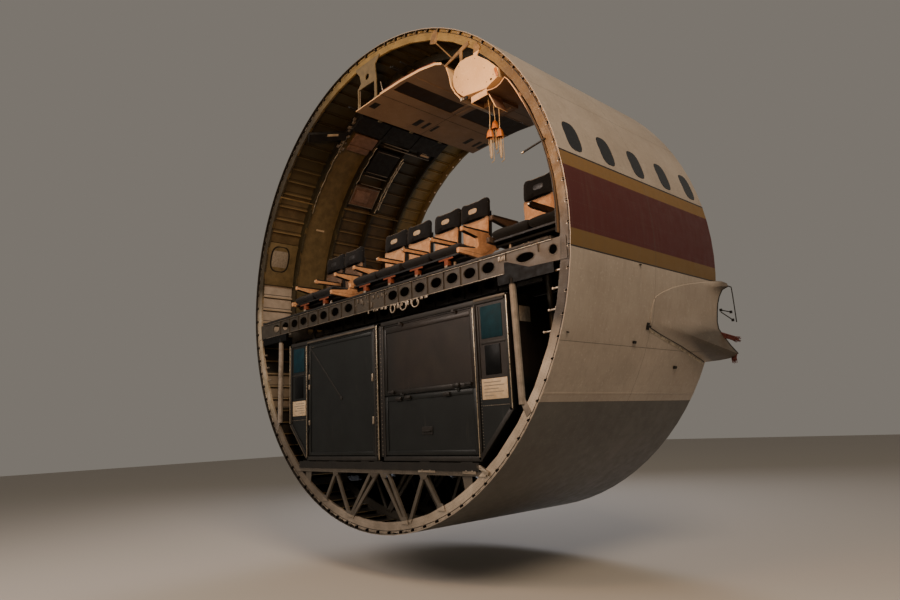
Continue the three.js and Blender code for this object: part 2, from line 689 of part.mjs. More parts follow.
function leftWall() {
  const onWall = ({ deep, first, last, from, to }) => sector(RING_OUT, deep, first, last, from, to);
  add('wall_trim_panel', onWall(TRIM), LOOK.primer);
  add('air_duct', onWall(DUCT), LOOK.steel);
  add('insulation_pad', onWall(PAD), LOOK.leather);
  const block = ({ angle, wide, high, from, to }) => ringBlock(angle, wide, high, from, to);
  const { angle, wide, high, backWide, backHigh } = TRAY;
  const backing = ringBlock(angle, backWide, backHigh, TRAYS[0][0], TRAYS[2][1]);
  const trays = TRAYS.map(([from, to]) => ringBlock(angle, wide, high, from, to));
  add('light_rail', join(backing, ...trays, block(TRAY_LAMP), slantLamp(), block(LAMP_ARM)), LOOK.steel);
}

// The near lamp's housing slants down the wall from the first ring to the second
function slantLamp() {
  const { angle, y, long, wide, inner, outer, slant } = SLANT_LAMP;
  const geometry = new THREE.BoxGeometry(outer - inner, long, wide);
  geometry.rotateX(THREE.MathUtils.degToRad(slant));
  geometry.translate((inner + outer) / 2, y, 0);
  geometry.rotateY(-THREE.MathUtils.degToRad(angle));
  return solid(geometry);
}

function holdLiner() {
  const radius = RING_IN - FIT / Math.cos((2 * Math.PI) / FACETS);
  const near = polar(radius, -8);
  const next = polar(radius, -16);
  const top = [next[0] + (near[0] - next[0]) * 0.7, next[1] + (near[1] - next[1]) * 0.7];
  const outer = [polar(radius, -32), polar(radius, -24), next, top];
  const inner = outer.map(([x, z]) => {
    const pull = 1 - HOLD_LINER.thick / Math.hypot(x, z);
    return [x * pull, z * pull];
  });
  add('hold_liner', alongY([...outer, ...inner.reverse()], HOLD_LINER.from, HOLD_LINER.to), LOOK.steel);
}

// A solid under a sheet of points, down to a cylinder inside the skin
function underSheet(rows, floorR) {
  const wide = rows[0].length;
  const below = rows.length * wide;
  const top = rows.flat();
  const down = (x, z) => floorR / Math.hypot(x, z);
  const bottom = top.map(([x, y, z]) => [x * down(x, z), y, z * down(x, z)]);
  const faces = [];
  const quad = (a, b, c, d) => faces.push(a, b, c, a, c, d);
  for (let a = 0; a + wide < below; a += 1) {
    if ((a + 1) % wide === 0) continue;
    quad(a, a + 1, a + wide + 1, a + wide);
    quad(below + a, below + a + wide, below + a + wide + 1, below + a + 1);
  }
  const across = Array.from({ length: wide - 1 }, (_, k) => k);
  const along = Array.from({ length: rows.length - 1 }, (_, i) => i * wide);
  const rim = [
    ...across, ...along.map((a) => a + wide - 1),
    ...across.map((k) => below - 1 - k), ...along.map((a) => below - wide - a),
  ];
  rim.forEach((p, k) => {
    const q = rim[(k + 1) % rim.length];
    quad(q, p, below + p, below + q);
  });
  const geometry = new THREE.BufferGeometry();
  geometry.setAttribute('position', new THREE.Float32BufferAttribute([...top, ...bottom].flat(), 3));
  geometry.setIndex(faces);
  return solid(geometry);
}

// Fairing stub: a sheet that leaves the skin, flares to a lip and a skirt and ends at the far cut
function fairingRow([y, top, bottom, lip, skirt], wall) {
  const angle = ([x, z]) => THREE.MathUtils.radToDeg(Math.atan2(z, x));
  const first = angle(FAIRING_EDGE[0]);
  const last = angle(FAIRING_EDGE[FAIRING_EDGE.length - 1]);
  const line = FAIRING_EDGE.map(([x, z], k) => {
    const share = (angle([x, z]) - first) / (last - first);
    const blend = THREE.MathUtils.smoothstep(share, FAIRING.lipEnds, FAIRING.skirtStarts);
    const rise = (Math.hypot(x, z) - SKIN_R) * (lip + (skirt - lip) * blend);
    const ends = k === 0 || k === FAIRING_EDGE.length - 1;
    return polar(SKIN_R + (ends ? 0 : Math.max(rise, FAIRING.least)), top + share * (bottom - top));
  });
  return line.map(([x, z], k) => {
    const [x0, z0] = line[Math.max(k - 1, 0)];
    const [x1, z1] = line[Math.min(k + 1, line.length - 1)];
    const pull = wall / Math.hypot(x1 - x0, z1 - z0);
    return [x + (z1 - z0) * pull, y, z - (x1 - x0) * pull];
  });
}

function fairing() {
  const outside = FAIRING_ROWS.map((row) => fairingRow(row, 0));
  const inside = FAIRING_ROWS.map((row) => fairingRow(row, FAIRING.wall));
  inside.push(inside[inside.length - 1].map(([x, y, z]) => [x, y + FAIRING.past, z]));
  const barrel = alongY(circle(SKIN_R + FIT, FACETS), 1200, 2900);
  add('fairing_stub', underSheet(outside, FAIRING.floorR)
    .subtract(underSheet(inside, FAIRING.floorR - FIT)).subtract(barrel), LOOK.skin);
}

// Seats: each unit has one frame, double cushions, and for each seat a back that reclines
function seatFrame(name, middle, count) {
  const half = (count * SEAT_PITCH) / 2;
  const low = middle - half;
  const { r, frontY, rearY, z } = SEAT_BEAM;
  const parts = [
    rod([low, frontY, z], [middle + half, frontY, z], r, 8),
    rod([low, rearY, z], [middle + half, rearY, z], r, 8),
    slab(low + 20, middle + half - 20, PAN.front, PAN.back, PAN.low, PAN.top),
  ];
  for (const edge of [low, middle + half]) {
    parts.push(alongX(END_PANEL.profile, edge - END_PANEL.half, edge + END_PANEL.half));
  }
  for (let k = 1; k < count; k += 1) {
    const edge = low + k * SEAT_PITCH;
    parts.push(alongX(ARM_PLATE.profile, edge + ARM_PLATE.from, edge + ARM_PLATE.to));
    parts.push(rod([edge + ARM_PLATE.from, BACK.pivotY, BACK.pivotZ],
      [edge + PIVOT_BOSS.reach, BACK.pivotY, BACK.pivotZ], PIVOT_BOSS.r, 8));
    if (count === 2) parts.push(armrest(edge, true));
  }
  for (const x of [low + SEAT_LEG.inset, middle + half - SEAT_LEG.inset]) {
    const foot = DECK_TOP + FIT;
    parts.push(rod([x, frontY - 40, foot + 9], [x, frontY, z], SEAT_LEG.r, 6));
    parts.push(rod([x, rearY + 60, foot + 9], [x, rearY, z], SEAT_LEG.r, 6));
    parts.push(slab(x - 22, x + 22, frontY - 75, rearY + 95, foot, foot + 18));
  }
  add(`seat_frame_${name}`, join(...parts), LOOK.aluminium);
}

function armrest(edge, fixed) {
  const { pivotY, pivotZ, r, front, from, to } = ARM;
  const nose = [100, 140, 180, 220, 260].map((degrees) => {
    const [y, z] = polar(r, degrees);
    return [front + r + y, pivotZ + z];
  });
  return join(
    alongX([[pivotY, pivotZ - r], [pivotY, pivotZ + r], ...nose], edge + from, edge + to),
    alongX(oval(pivotY, pivotZ, 2 * r, 2 * r, 12), edge + from - (fixed ? 2 : 0), edge + to));
}

// A back is where its side view and its front view meet
function seatBack(middle) {
  const { pivotY, pivotZ, side, half } = BACK;
  const front = [...half, ...[...half].reverse().map(([x, z]) => [-x, z])];
  const [near, far] = [pivotY - SEAT_PITCH / 2, pivotY + SEAT_PITCH / 2];
  const body = alongX(side, middle - SEAT_PITCH / 2, middle + SEAT_PITCH / 2)
    .intersect(alongY(front.map(([x, z]) => [middle + x, z]), near, far));
  const pin = (x0, x1) => rod([x0, pivotY, pivotZ], [x1, pivotY, pivotZ], 8, 8);
  return { body, pin };
}

// A cushion for two seats: each has a rolled front edge, with a joint between them
function doubleCushion(start, end) {
  const { front, back, low, top, roll, slope, gap } = CUSHION;
  const nose = [0, 45, 90, 135, 180].map((degrees) => {
    const turn = THREE.MathUtils.degToRad(degrees);
    return [front + roll - roll * Math.sin(turn), low + roll - roll * Math.cos(turn)];
  });
  const side = [...nose, [back - 20, top - slope], [back, top - slope - 20], [back, low]];
  const middle = (start + end) / 2;
  return join(
    alongX(side, start, middle - gap / 2), alongX(side, middle + gap / 2, end),
    slab(middle - gap, middle + gap, front + roll, back - roll, low, top - roll));
}

function seats() {
  for (const [name, middle, count] of SEAT_UNITS) {
    seatFrame(name, middle, count);
    const low = middle - (count * SEAT_PITCH) / 2;
    for (let k = 0; k < count; k += 2) {
      const start = low + k * SEAT_PITCH + END_PANEL.half + 8;
      const end = low + (k + 2) * SEAT_PITCH - END_PANEL.half - 8;
      add(`seat_cushion_${name}_${k / 2 + 1}`, doubleCushion(start, end), LOOK.fabric);
    }
    for (let k = 0; k < count; k += 1) {
      const left = low + k * SEAT_PITCH;
      const right = left + SEAT_PITCH;
      const { body, pin } = seatBack((left + right) / 2);
      const leftStop = k === 0 ? left + END_PANEL.half + FIT : left + PIVOT_BOSS.reach + FIT;
      const rightStop = k === count - 1 ? right - END_PANEL.half - FIT : right + ARM_PLATE.from - FIT;
      add(`seat_back_${name}_${k + 1}`, join(
        body, pin(leftStop, left + PIN_INSIDE), pin(right - PIN_INSIDE, rightStop)), LOOK.fabric);
    }
    for (let k = 1; k < count && count > 2; k += 1) {
      add(`armrest_${k}`, armrest(low + k * SEAT_PITCH, false), LOOK.leather);
    }
  }
}

skinPanel('skin_crown', 13, 32);
skinPanel('skin_belly', 53, 82);
windowPanel('skin_right', -8, 13, 1, BARE_FACETS.right);
windowPanel('skin_left', 32, 53, -1, BARE_FACETS.left);
RING_Y.forEach(ringFrame);
RING_Y.forEach(floorBeam);
nearStrut('side_strut_right', 1);
nearStrut('side_strut_left', -1);
deck();
holdFloor();
containers();
ceiling();
stowageBin();
serviceUnit();
masks();
sidewallLiner();
leftWall();
holdLiner();
fairing();
seats();
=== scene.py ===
"""A cut-out barrel of a twin-aisle airliner's fuselage, dressed round its solid model.

Metres, +X to the barrel's right, +Y along its axis from the near cut, +Z up. The solid
model keeps the structure; this file adds the finishes, soft seats, window panes, trim,
fasteners and fittings."""
import math
import random

import bmesh
import bpy
from mathutils import Matrix, Vector


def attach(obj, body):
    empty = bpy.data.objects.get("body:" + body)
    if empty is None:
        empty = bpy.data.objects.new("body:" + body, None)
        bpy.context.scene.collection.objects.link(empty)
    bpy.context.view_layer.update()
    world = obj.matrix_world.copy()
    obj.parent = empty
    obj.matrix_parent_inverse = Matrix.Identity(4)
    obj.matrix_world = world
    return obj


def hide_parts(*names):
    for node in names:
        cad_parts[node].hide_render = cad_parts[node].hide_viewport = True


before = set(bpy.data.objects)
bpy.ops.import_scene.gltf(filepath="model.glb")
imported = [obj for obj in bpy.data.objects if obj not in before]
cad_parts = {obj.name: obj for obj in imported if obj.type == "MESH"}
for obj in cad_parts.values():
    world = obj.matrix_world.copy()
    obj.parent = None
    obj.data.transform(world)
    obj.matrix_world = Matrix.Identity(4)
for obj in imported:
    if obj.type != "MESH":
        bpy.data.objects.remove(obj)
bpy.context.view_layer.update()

# Sizes that the solid model sets, in metres
SKIN_R = 2.82
LENGTH = 2.65
BAY = 0.533
RING_Y = (0.03, 0.565, 1.098, 1.631, 2.164, 2.615)
RING_IN = 2.697
STRINGER_PITCH = SKIN_R * math.radians(4)
WINDOW_Y = [0.3 + BAY * k for k in range(5)]
WINDOW_Z = 0.79
DECK_TOP = -0.1647
DECK_UNDER = -0.1935
# The lightening holes in each floor beam: x, width and height
BEAM_HOLES = [(x, 0.17, 0.114) for x in (
    -2.238, -1.987, -1.746, -1.514, -1.267, -1.03, -0.768, -0.477,
    0.377, 0.587, 0.837, 1.097, 1.337, 1.585, 1.833)]
BEAM_HOLES += [(2.289, 0.218, 0.093), (2.603, 0.098, 0.095)]
BEAM_MIDDLE = -0.285
SEAT_PITCH = 0.515
# Each seat unit's name, the x of its middle and its number of seats
SEAT_UNITS = (("left", -1.995, 2), ("centre", 0.0, 4), ("right", 1.995, 2))


def put_in_scene(name, data):
    """An object of some data, in the scene."""
    made = bpy.data.objects.new(name, data)
    bpy.context.scene.collection.objects.link(made)
    return made


def mesh_object(name, bm):
    """An object of a finished form."""
    mesh = bpy.data.meshes.new(name)
    bm.to_mesh(mesh)
    bm.free()
    return put_in_scene(name, mesh)


def photographer():
    """The camera, placed and turned as it was when the photo was taken."""
    yaw, pitch, roll = (math.radians(a) for a in (46.58, 11.14, -2.70))
    ahead = Vector((-math.sin(yaw) * math.cos(pitch), math.cos(yaw) * math.cos(pitch),
                    math.sin(pitch)))
    side = ahead.cross(Vector((0, 0, 1))).normalized()
    up = side.cross(ahead)
    turned_side = side * math.cos(roll) + up * math.sin(roll)
    turned_up = up * math.cos(roll) - side * math.sin(roll)
    data = bpy.data.cameras.new("photographer")
    data.lens = 25.893
    data.sensor_width = 36
    data.clip_end = 200
    camera = put_in_scene("photographer", data)
    turn = Matrix((turned_side, turned_up, -ahead)).transposed().to_4x4()
    camera.matrix_world = Matrix.Translation((5.875, -4.316, -1.741)) @ turn
    bpy.context.scene.camera = camera


# Materials
def hex_colour(text):
    """Linear colour of an sRGB hex value."""
    parts = [int(text[k:k + 2], 16) / 255 for k in (1, 3, 5)]
    return tuple(c / 12.92 if c <= 0.04045 else ((c + 0.055) / 1.055) ** 2.4 for c in parts) + (1,)


def node(tree, kind, settings=None, links=None):
    """Adds a node. Settings are its own values or its sockets' values; links join its
    inputs to other nodes' outputs."""
    made = tree.nodes.new("ShaderNode" + kind)
    for key, value in (settings or {}).items():
        if isinstance(key, str) and hasattr(made, key):
            setattr(made, key, value)
        else:
            made.inputs[key].default_value = value
    for key, source in (links or {}).items():
        tree.links.new(source, made.inputs[key])
    return made


def maths(operation, *values):
    """The result of one sum on sockets or numbers."""
    settings, links = {"operation": operation}, {}
    for key, value in enumerate(values):
        given = settings if isinstance(value, (int, float)) else links
        given[key] = value
    tree = list(links.values())[0].id_data
    return node(tree, "Math", settings, links).outputs[0]


def times(first, second):
    """Two values multiplied. Of two masks, that is 1 only where both are."""
    return maths("MULTIPLY", first, second)


def above(value, edge):
    """1 where a value is greater than an edge, and 0 elsewhere."""
    return maths("GREATER_THAN", value, edge)


def below(value, edge):
    """1 where a value is less than an edge, and 0 elsewhere."""
    return maths("LESS_THAN", value, edge)


def within(value, low, high):
    """1 between two values, and 0 elsewhere."""
    return times(above(value, low), below(value, high))


def any_of(first, *others):
    """1 where any of some masks is."""
    for other in others:
        first = maths("MAXIMUM", first, other)
    return first


def far_out(u, v):
    """How far a point lies from the origin of two axes."""
    return maths("SQRT", maths("ADD", times(u, u), times(v, v)))


def mix(share, low, high):
    """One colour passing into another. Colours are hex values or sockets."""
    settings, links = {"data_type": "RGBA"}, {0: share}
    for key, value in ((6, low), (7, high)):
        if isinstance(value, str):
            settings[key] = hex_colour(value)
        else:
            links[key] = value
    return node(share.id_data, "Mix", settings, links).outputs[2]


def grain(place, scale, detail=3.0, roughness=0.5):
    """Noise between 0 and 1; scale is patches in a metre."""
    return node(place.id_data, "TexNoise",
                {"Scale": scale, "Detail": detail, "Roughness": roughness},
                {"Vector": place}).outputs[0]


def limits(value, low, high, to_low=0.0, to_high=1.0):
    """A value's range carried over to another range, and held at its ends."""
    return node(value.id_data, "MapRange", {1: low, 2: high, 3: to_low, 4: to_high},
                {0: value}).outputs[0]


def gloss(place, scale, low, high):
    """Roughness that wanders in patches between two values."""
    return limits(grain(place, scale), 0.3, 0.7, low, high)


def stretched(place, scale):
    """The place on the object, scaled along each axis, for streaks and brush marks."""
    return node(place.id_data, "Mapping", {"Scale": scale}, {0: place}).outputs[0]


def axes(place):
    """x, y and z of the place on the object."""
    return node(place.id_data, "SeparateXYZ", None, {0: place}).outputs


def start_material(name, **surface):
    """A new material with its shader's even values set, and where on the object it is."""
    made = bpy.data.materials.new(name)
    made.use_nodes = True
    shader = made.node_tree.nodes["Principled BSDF"]
    for key, value in surface.items():
        shader.inputs[key.replace("_", " ")].default_value = (
            hex_colour(value) if isinstance(value, str) else value)
    return made, node(made.node_tree, "TexCoord").outputs["Object"]


def finish_material(made, colour=None, roughness=None, bump=None, deep=0.001):
    """Joins a material's colour, roughness and bump, of a depth in metres, to its shader."""
    tree = made.node_tree
    links = {"Base Color": colour, "Roughness": roughness}
    if bump is not None:
        links["Normal"] = node(tree, "Bump", {"Strength": 1.0, "Distance": deep},
                               {"Height": bump}).outputs[0]
    for key, source in links.items():
        if source is not None:
            tree.links.new(source, tree.nodes["Principled BSDF"].inputs[key])
    return made


def finish_film(made, place, colour):
    """Finishes a cabin lining: fine texture, and gloss that wanders a little."""
    return finish_material(made, colour, gloss(place, 8.0, 0.5, 0.65), grain(place, 420.0, 2.0),
                           0.0004)


def near_line(value, place, width):
    """1 within half a width of a place on an axis, and 0 elsewhere."""
    return maths("COMPARE", value, place, width / 2)


def off_row(value, first, pitch):
    """How far a value is from the nearest of a row of evenly spaced lines, in pitches."""
    turn = maths("DIVIDE", maths("SUBTRACT", value, first), pitch)
    return maths("SUBTRACT", turn, maths("ROUND", turn))


def near_lines(value, first, pitch, width):
    """1 near each of a row of evenly spaced lines."""
    return below(maths("ABSOLUTE", off_row(value, first, pitch)), width / 2 / pitch)


def rivets(along, across, pitch, row, radius, first=0.0):
    """1 on a rivet's head: rows are a distance apart and have a pitch along them."""
    u = times(off_row(along, 0.0, pitch), pitch)
    v = times(off_row(across, first, row), row)
    return below(far_out(u, v), radius)


def barrel_place(place):
    """x, y, z, the distance from the barrel's axis, and the way round it in metres."""
    x, y, z = axes(place)
    return x, y, z, far_out(x, z), times(maths("ARCTAN2", z, x), SKIN_R)


def worn(place, base, dark, light, scale=6.0):
    """Uneven colour: soft patches of a darker and a lighter tone over the base."""
    patches = limits(grain(place, scale, 5.0, 0.6), 0.35, 0.7)
    specks = limits(grain(place, scale * 22, 2.0), 0.58, 0.75)
    return mix(times(specks, 0.5), mix(patches, dark, base), light)


def skin_primer(place, y, z, radius, girth):
    """The skin's inner side: chromate primer, paler towards the far cut, with painted shade
    towards the crown, at the hold's bottom, beside the stringers and at the near cut, and a
    painted glint on the stringers' flanges.
    """
    primer = worn(place, "#63543a", "#4a3f2b", "#7d6b4a", 5.0)
    # Painted shade: the primer darkens towards the crown
    primer = mix(limits(z, 1.5, 2.2), primer, "#34301f")
    primer = mix(limits(y, 2.15, 2.3), primer, worn(place, "#8e7f55", "#756840", "#a3946a"))
    # Below the floor the primer is dark, then pale on the hold's wall, and at the bottom painted
    # shade darkens it
    hold = mix(limits(z, -0.83, -0.87), "#232523", "#8b8273")
    hold = mix(limits(z, -1.33, -1.37), hold, "#2b2924")
    sealed = mix(limits(z, -0.3, -0.2), hold, worn(place, "#b0a79d", "#8f877c", "#c3bbb0"))
    primer = mix(limits(z, 0.5, 0.56), sealed, primer)
    glint = times(below(radius, 2.7895), limits(z, 2.3, 1.5, 0.0, 0.32))
    primer = mix(glint, primer, "#a58f62")
    shade = any_of(near_lines(girth, STRINGER_PITCH / 2 - 0.026, STRINGER_PITCH, 0.012),
                   near_lines(girth, STRINGER_PITCH / 2 + 0.026, STRINGER_PITCH, 0.012))
    shade = times(shade, above(radius, 2.7995))
    primer = mix(times(shade, 0.75), primer, "#17130c")
    # Painted shadow on the skin and stringers between the near cut and the near ring
    near_gap_shadow = times(below(y, 0.06), below(radius, 2.8125))
    return mix(near_gap_shadow, primer, "#14110d")


def skin_paint():
    """Polyurethane enamel sprayed on clad aluminium sheet: smooth, satin from age, with flush
    rivets and sealed joints. Inside, the same sheet shows its chromate primer."""
    made, place = start_material("polyurethane_skin_paint", Roughness=0.42)
    x, y, z, radius, girth = barrel_place(place)
    pale = worn(place, "#a89c8e", "#978b7d", "#b7ac9d", 1.6)
    belly = worn(place, "#585651", "#4a4844", "#65625c", 1.4)
    colour = mix(below(z, -1.565), pale, belly)
    # The plain stripes along the side: from, to, tone
    for low, high, tone in ((-0.303, -0.29, "#1e1a18"), (-0.29, -0.145, "#6b522b"),
                            (-0.145, 0.435, "#4a1b16"), (0.435, 0.572, "#775a2e"),
                            (0.572, 0.588, "#1e1a18")):
        colour = mix(within(z, low, high), colour, tone)
    dirt = limits(grain(stretched(place, (30.0, 30.0, 1.2)), 1.0, 4.0), 0.5, 0.85, 0.0, 0.22)
    colour = mix(dirt, colour, "#5a5148")
    # Painted shade: the fairing's skin is darker than the skin round it
    fairing = times(limits(radius, 2.823, 2.91), limits(z, -0.1, -0.3))
    colour = mix(fairing, colour, worn(place, "#5b5248", "#4d463d", "#6c6357", 1.6))
    seams = any_of(near_line(z, -1.07, 0.006), near_line(y, 1.365, 0.005),
                   near_line(z, 1.35, 0.006), near_line(z, -1.567, 0.005))
    heads = any_of(rivets(girth, y, 0.03, BAY, 0.0035, 0.03),
                   rivets(y, girth, 0.03, STRINGER_PITCH, 0.0035, STRINGER_PITCH / 2))
    colour = mix(times(seams, 0.7), colour, "#4a443c")
    colour = mix(times(heads, 0.35), colour, "#6b6358")
    colour = mix(above(radius, 2.8155), skin_primer(place, y, z, radius, girth), colour)
    cut = any_of(below(y, 0.0004), above(y, LENGTH - 0.0004))
    # The cut edges are bare metal on the right, and dark on the left as painted shadow
    bare_edge_and_shadow = mix(limits(x, -0.4, 0.4), "#2a2419", "#94897a")
    colour = mix(times(cut, 0.8), colour, bare_edge_and_shadow)
    ripple = maths("ADD", times(grain(place, 3.0, 1.0), 0.6), times(any_of(seams, heads), -0.3))
    return finish_material(made, colour, gloss(place, 9.0, 0.36, 0.5), ripple, 0.002)


def frame_metal():
    """Pressed aluminium sheet with an epoxy primer: the crown is a gold-green chromate, below the
    floor the sheet is pale and scuffed. Much of its tone by place is painted light and shade."""
    made, place = start_material("primed_aluminium_frame", Roughness=0.5, Metallic=0.25)
    x, y, z, radius, girth = barrel_place(place)
    # Painted light and shade: the near ring is darker to the left and lit at its crown
    brown = mix(limits(x, -0.3, 0.8), worn(place, "#3a3220", "#2b2416", "#50462d"),
                worn(place, "#6a5432", "#544124", "#806844"))
    lit = times(limits(x, -1.3, -0.3), limits(z, 1.5, 2.2))
    gold = mix(lit, brown, worn(place, "#957b45", "#75602f", "#b0965c"))
    # The rings behind the near one are in painted shade, near black in the crown, and paler at the
    # far cut
    behind = worn(place, "#45402c", "#322d1e", "#5e563c")
    behind = mix(limits(z, 1.5, 2.1), behind, "#25251c")
    behind = mix(limits(y, 2.3, 2.5), behind, "#7c6f50")
    gold = mix(limits(y, 0.045, 0.06), gold, behind)
    # The beams' webs, darker as painted shade under the deck
    beam = mix(limits(x, 1.9, 2.1), worn(place, "#3f3a31", "#302b24", "#585146"),
               worn(place, "#50483e", "#3f3930", "#6c6357"))
    pale = worn(place, "#968b7d", "#797063", "#b1a696")
    right = times(limits(x, 0.0, 2.0), limits(z, -1.25, -0.85))
    left = times(limits(x, -1.0, -2.0), limits(z, -1.6, -1.3))
    truss = times(below(z, -2.13), below(radius, 2.692))
    web = times(within(z, -0.405, -0.165), below(radius, 2.69))
    # Where each tone lies below the floor; each is laid over the ones before. Most are painted
    # light and shade: lit patches to the right and on the left wall, shaded ones to the left, just
    # under the floor on the right, in the rings behind the near one and on the beams' webs
    for share, tone in ((limits(x, 0.5, 1.3), worn(place, "#bbae9c", "#9a8e7e", "#d2c7b7")),
                        (limits(x, -0.7, -1.2), worn(place, "#6f6558", "#575046", "#8b8071")),
                        (right, worn(place, "#3d362d", "#2d2821", "#524a3e")),
                        (left, worn(place, "#b3a693", "#94886f", "#cabfae")),
                        (limits(y, 0.1, 0.3), worn(place, "#4b453b", "#38342c", "#665e51")),
                        (truss, worn(place, "#5a544b", "#464139", "#736c61")), (web, beam)):
        pale = mix(share, pale, tone)
    colour = mix(limits(z, -0.1, 0.35), pale, gold)
    # Painted shadow along the rings' outer edge, in the gap at the skin
    colour = mix(within(radius, 2.7765, 2.7839), colour, "#1d1811")
    heads = rivets(girth, radius, 0.025, 0.03, 0.0035, 2.72)
    colour = mix(times(heads, 0.5), colour, "#5e5444")
    raised = maths("ADD", heads, times(grain(place, 30.0), 0.3))
    return finish_material(made, colour, gloss(place, 14.0, 0.4, 0.6), raised, 0.0012)


def pale_metal():
    """Machined and pressed aluminium, anodised and dulled by handling."""
    made, place = start_material("anodised_aluminium", Roughness=0.42, Metallic=0.7)
    colour = worn(place, "#a89c8b", "#857a6c", "#c6bba9", 9.0)
    scratch = stretched(place, (3.0, 60.0, 60.0))
    lines = limits(grain(scratch, 2.0, 4.0), 0.55, 0.7)
    return finish_material(made, mix(times(lines, 0.4), colour, "#d6ccbb"),
                           limits(lines, 0.0, 1.0, 0.38, 0.55), lines, 0.0003)


def dark_metal():
    """Steel fittings and ducts under old black enamel, chipped to grey at the edges."""
    made, place = start_material("black_enamel_steel", Roughness=0.5, Metallic=0.4)
    colour = worn(place, "#24221f", "#161513", "#4a4640", 12.0)
    return finish_material(made, colour, gloss(place, 20.0, 0.4, 0.65), grain(place, 60.0), 0.0006)


def container_sheet():
    """Container skin of thin rolled aluminium with a baked dark grey coat, dented and scuffed."""
    made, place = start_material("coated_container_sheet", Roughness=0.45, Metallic=0.35)
    x, _, z = axes(place)
    cold = worn(place, "#191d1d", "#121515", "#262a29", 4.0)
    warm = times(limits(z, -1.4, -1.3), limits(x, 0.1, 0.5))
    colour = mix(warm, cold, worn(place, "#28221c", "#1e1915", "#372f27", 4.0))
    dents = maths("ADD", grain(place, 2.2, 2.0), times(grain(place, 45.0), 0.05))
    scratch = stretched(place, (40.0, 40.0, 2.0))
    lines = limits(grain(scratch, 1.0, 5.0), 0.66, 0.8)
    colour = mix(times(lines, 0.12), colour, "#7c746a")
    return finish_material(made, colour, limits(lines, 0.0, 1.0, 0.42, 0.6), dents, 0.006)


def cabin_plastic(name, base, dark, light):
    """Moulded cabin lining: phenolic skin on honeycomb under a fine textured film."""
    made, place = start_material(name, Roughness=0.55)
    colour = worn(place, base, dark, light, 2.5)
    return finish_film(made, place, colour)


def floor_board():
    """Cabin floor of honeycomb board with a worn needle-felt covering."""
    made, place = start_material("needle_felt_floor", Roughness=0.9)
    colour = worn(place, "#35302a", "#262019", "#4d463c", 7.0)
    return finish_material(made, colour, None, grain(place, 260.0, 4.0), 0.002)


def seat_cloth():
    """Woven wool seat cover, charcoal, its 3 mm basket weave drawn at 8 mm so that it shows."""
    made, place = start_material("charcoal_wool_cover", Roughness=0.9, Sheen_Weight=0.08,
                                 Sheen_Roughness=0.5, Specular_IOR_Level=0.2)
    colour = worn(place, "#17191c", "#101113", "#26292d", 18.0)
    # Painted shade: the right unit's cloth is darker
    x = axes(place)[0]
    colour = mix(limits(x, 1.3, 1.45), colour, "#0c0e0f")
    weave = [node(place.id_data, "TexWave", {"Scale": 40.0, "bands_direction": way},
                  {0: place}).outputs[1] for way in ("X", "Z")]
    return finish_material(made, colour, None, times(*weave), 0.0012)


def tan_leather(name, base, dark, light):
    """Aniline leather, pebbled and creased, with soft gloss on its grain and dark folds."""
    made, place = start_material(name, Roughness=0.5)
    cells = node(place.id_data, "TexVoronoi", {"Scale": 260.0, "feature": "DISTANCE_TO_EDGE"},
                 {"Vector": place}).outputs[0]
    pebbles = limits(cells, 0.0, 0.25)
    creases = limits(grain(place, 14.0, 6.0, 0.7), 0.45, 0.6)
    colour = mix(creases, dark, base)
    colour = mix(times(pebbles, 0.35), colour, light)
    x, y, z = axes(place)
    back = limits(y, 0.92, 0.94)
    # Painted shade: a greyish band at the top of the back pads, under the headrest
    shade_under_headrest = times(back, limits(z, 0.6, 0.64))
    colour = mix(times(shade_under_headrest, 0.7), colour, "#5f5245")
    # Painted shade: the left unit's leather towards its backs is darker
    left_unit_shade = times(limits(x, -1.35, -1.6), limits(y, 0.75, 0.95))
    colour = mix(times(left_unit_shade, 0.85), colour, "#2a1d14")
    shaded = times(limits(x, 1.3, 1.42), maths("SUBTRACT", 1.0, back))
    colour = mix(times(shaded, 0.92), colour, "#15110d")
    return finish_material(made, colour, limits(pebbles, 0.0, 1.0, 0.62, 0.42),
                           maths("ADD", pebbles, creases), 0.001)


def plain_coat(name, base, dark, light, roughness=0.45, metallic=0.0, scale=10.0, fine=90.0,
               shine=0.5):
    """A brushed or sprayed coat on a small part, a little uneven in tone and gloss."""
    made, place = start_material(name, Metallic=metallic, Specular_IOR_Level=shine)
    colour = worn(place, base, dark, light, scale)
    rough = gloss(place, scale * 2, roughness - 0.06, roughness + 0.08)
    return finish_material(made, colour, rough, grain(place, fine), 0.0004)


def two_tone(name, axis, meet, first, second, rough, fine, **surface):
    """A coat of two worn tones, each with its scale, that pass over between two places on an
    axis."""
    made, place = start_material(name, **surface)
    tones = [worn(place, *tone) for tone in (first, second)]
    along = axes(place)["XYZ".index(axis)]
    return finish_material(made, mix(limits(along, *meet), *tones), gloss(place, *rough),
                           grain(place, *fine), 0.0004)


def clear_plastic(name, tint, roughness=0.1):
    """A clear sheet that is dark behind, with a sharp reflection and a few smears."""
    made, place = start_material(name, Base_Color=tint, IOR=1.49, Transmission_Weight=0.6)
    smears = limits(grain(place, 25.0, 4.0), 0.4, 0.7, roughness, roughness + 0.15)
    return finish_material(made, None, smears)


def hold_boards():
    """The hold's floor: dark scuffed boards and sill, pale roller tracks and truss chord."""
    made, place = start_material("hold_floor_boards_and_tracks", Roughness=0.5, Metallic=0.3)
    y, z = axes(place)[1:]
    board = worn(place, "#1f1d19", "#151411", "#322f29", 6.0)
    track = worn(place, "#8d8272", "#6b6256", "#ab9f8d", 9.0)
    tracks = times(above(z, -2.125), above(y, 0.1))
    colour = mix(tracks, board, track)
    return finish_material(made, colour, gloss(place, 15.0, 0.42, 0.6), grain(place, 60.0), 0.0006)


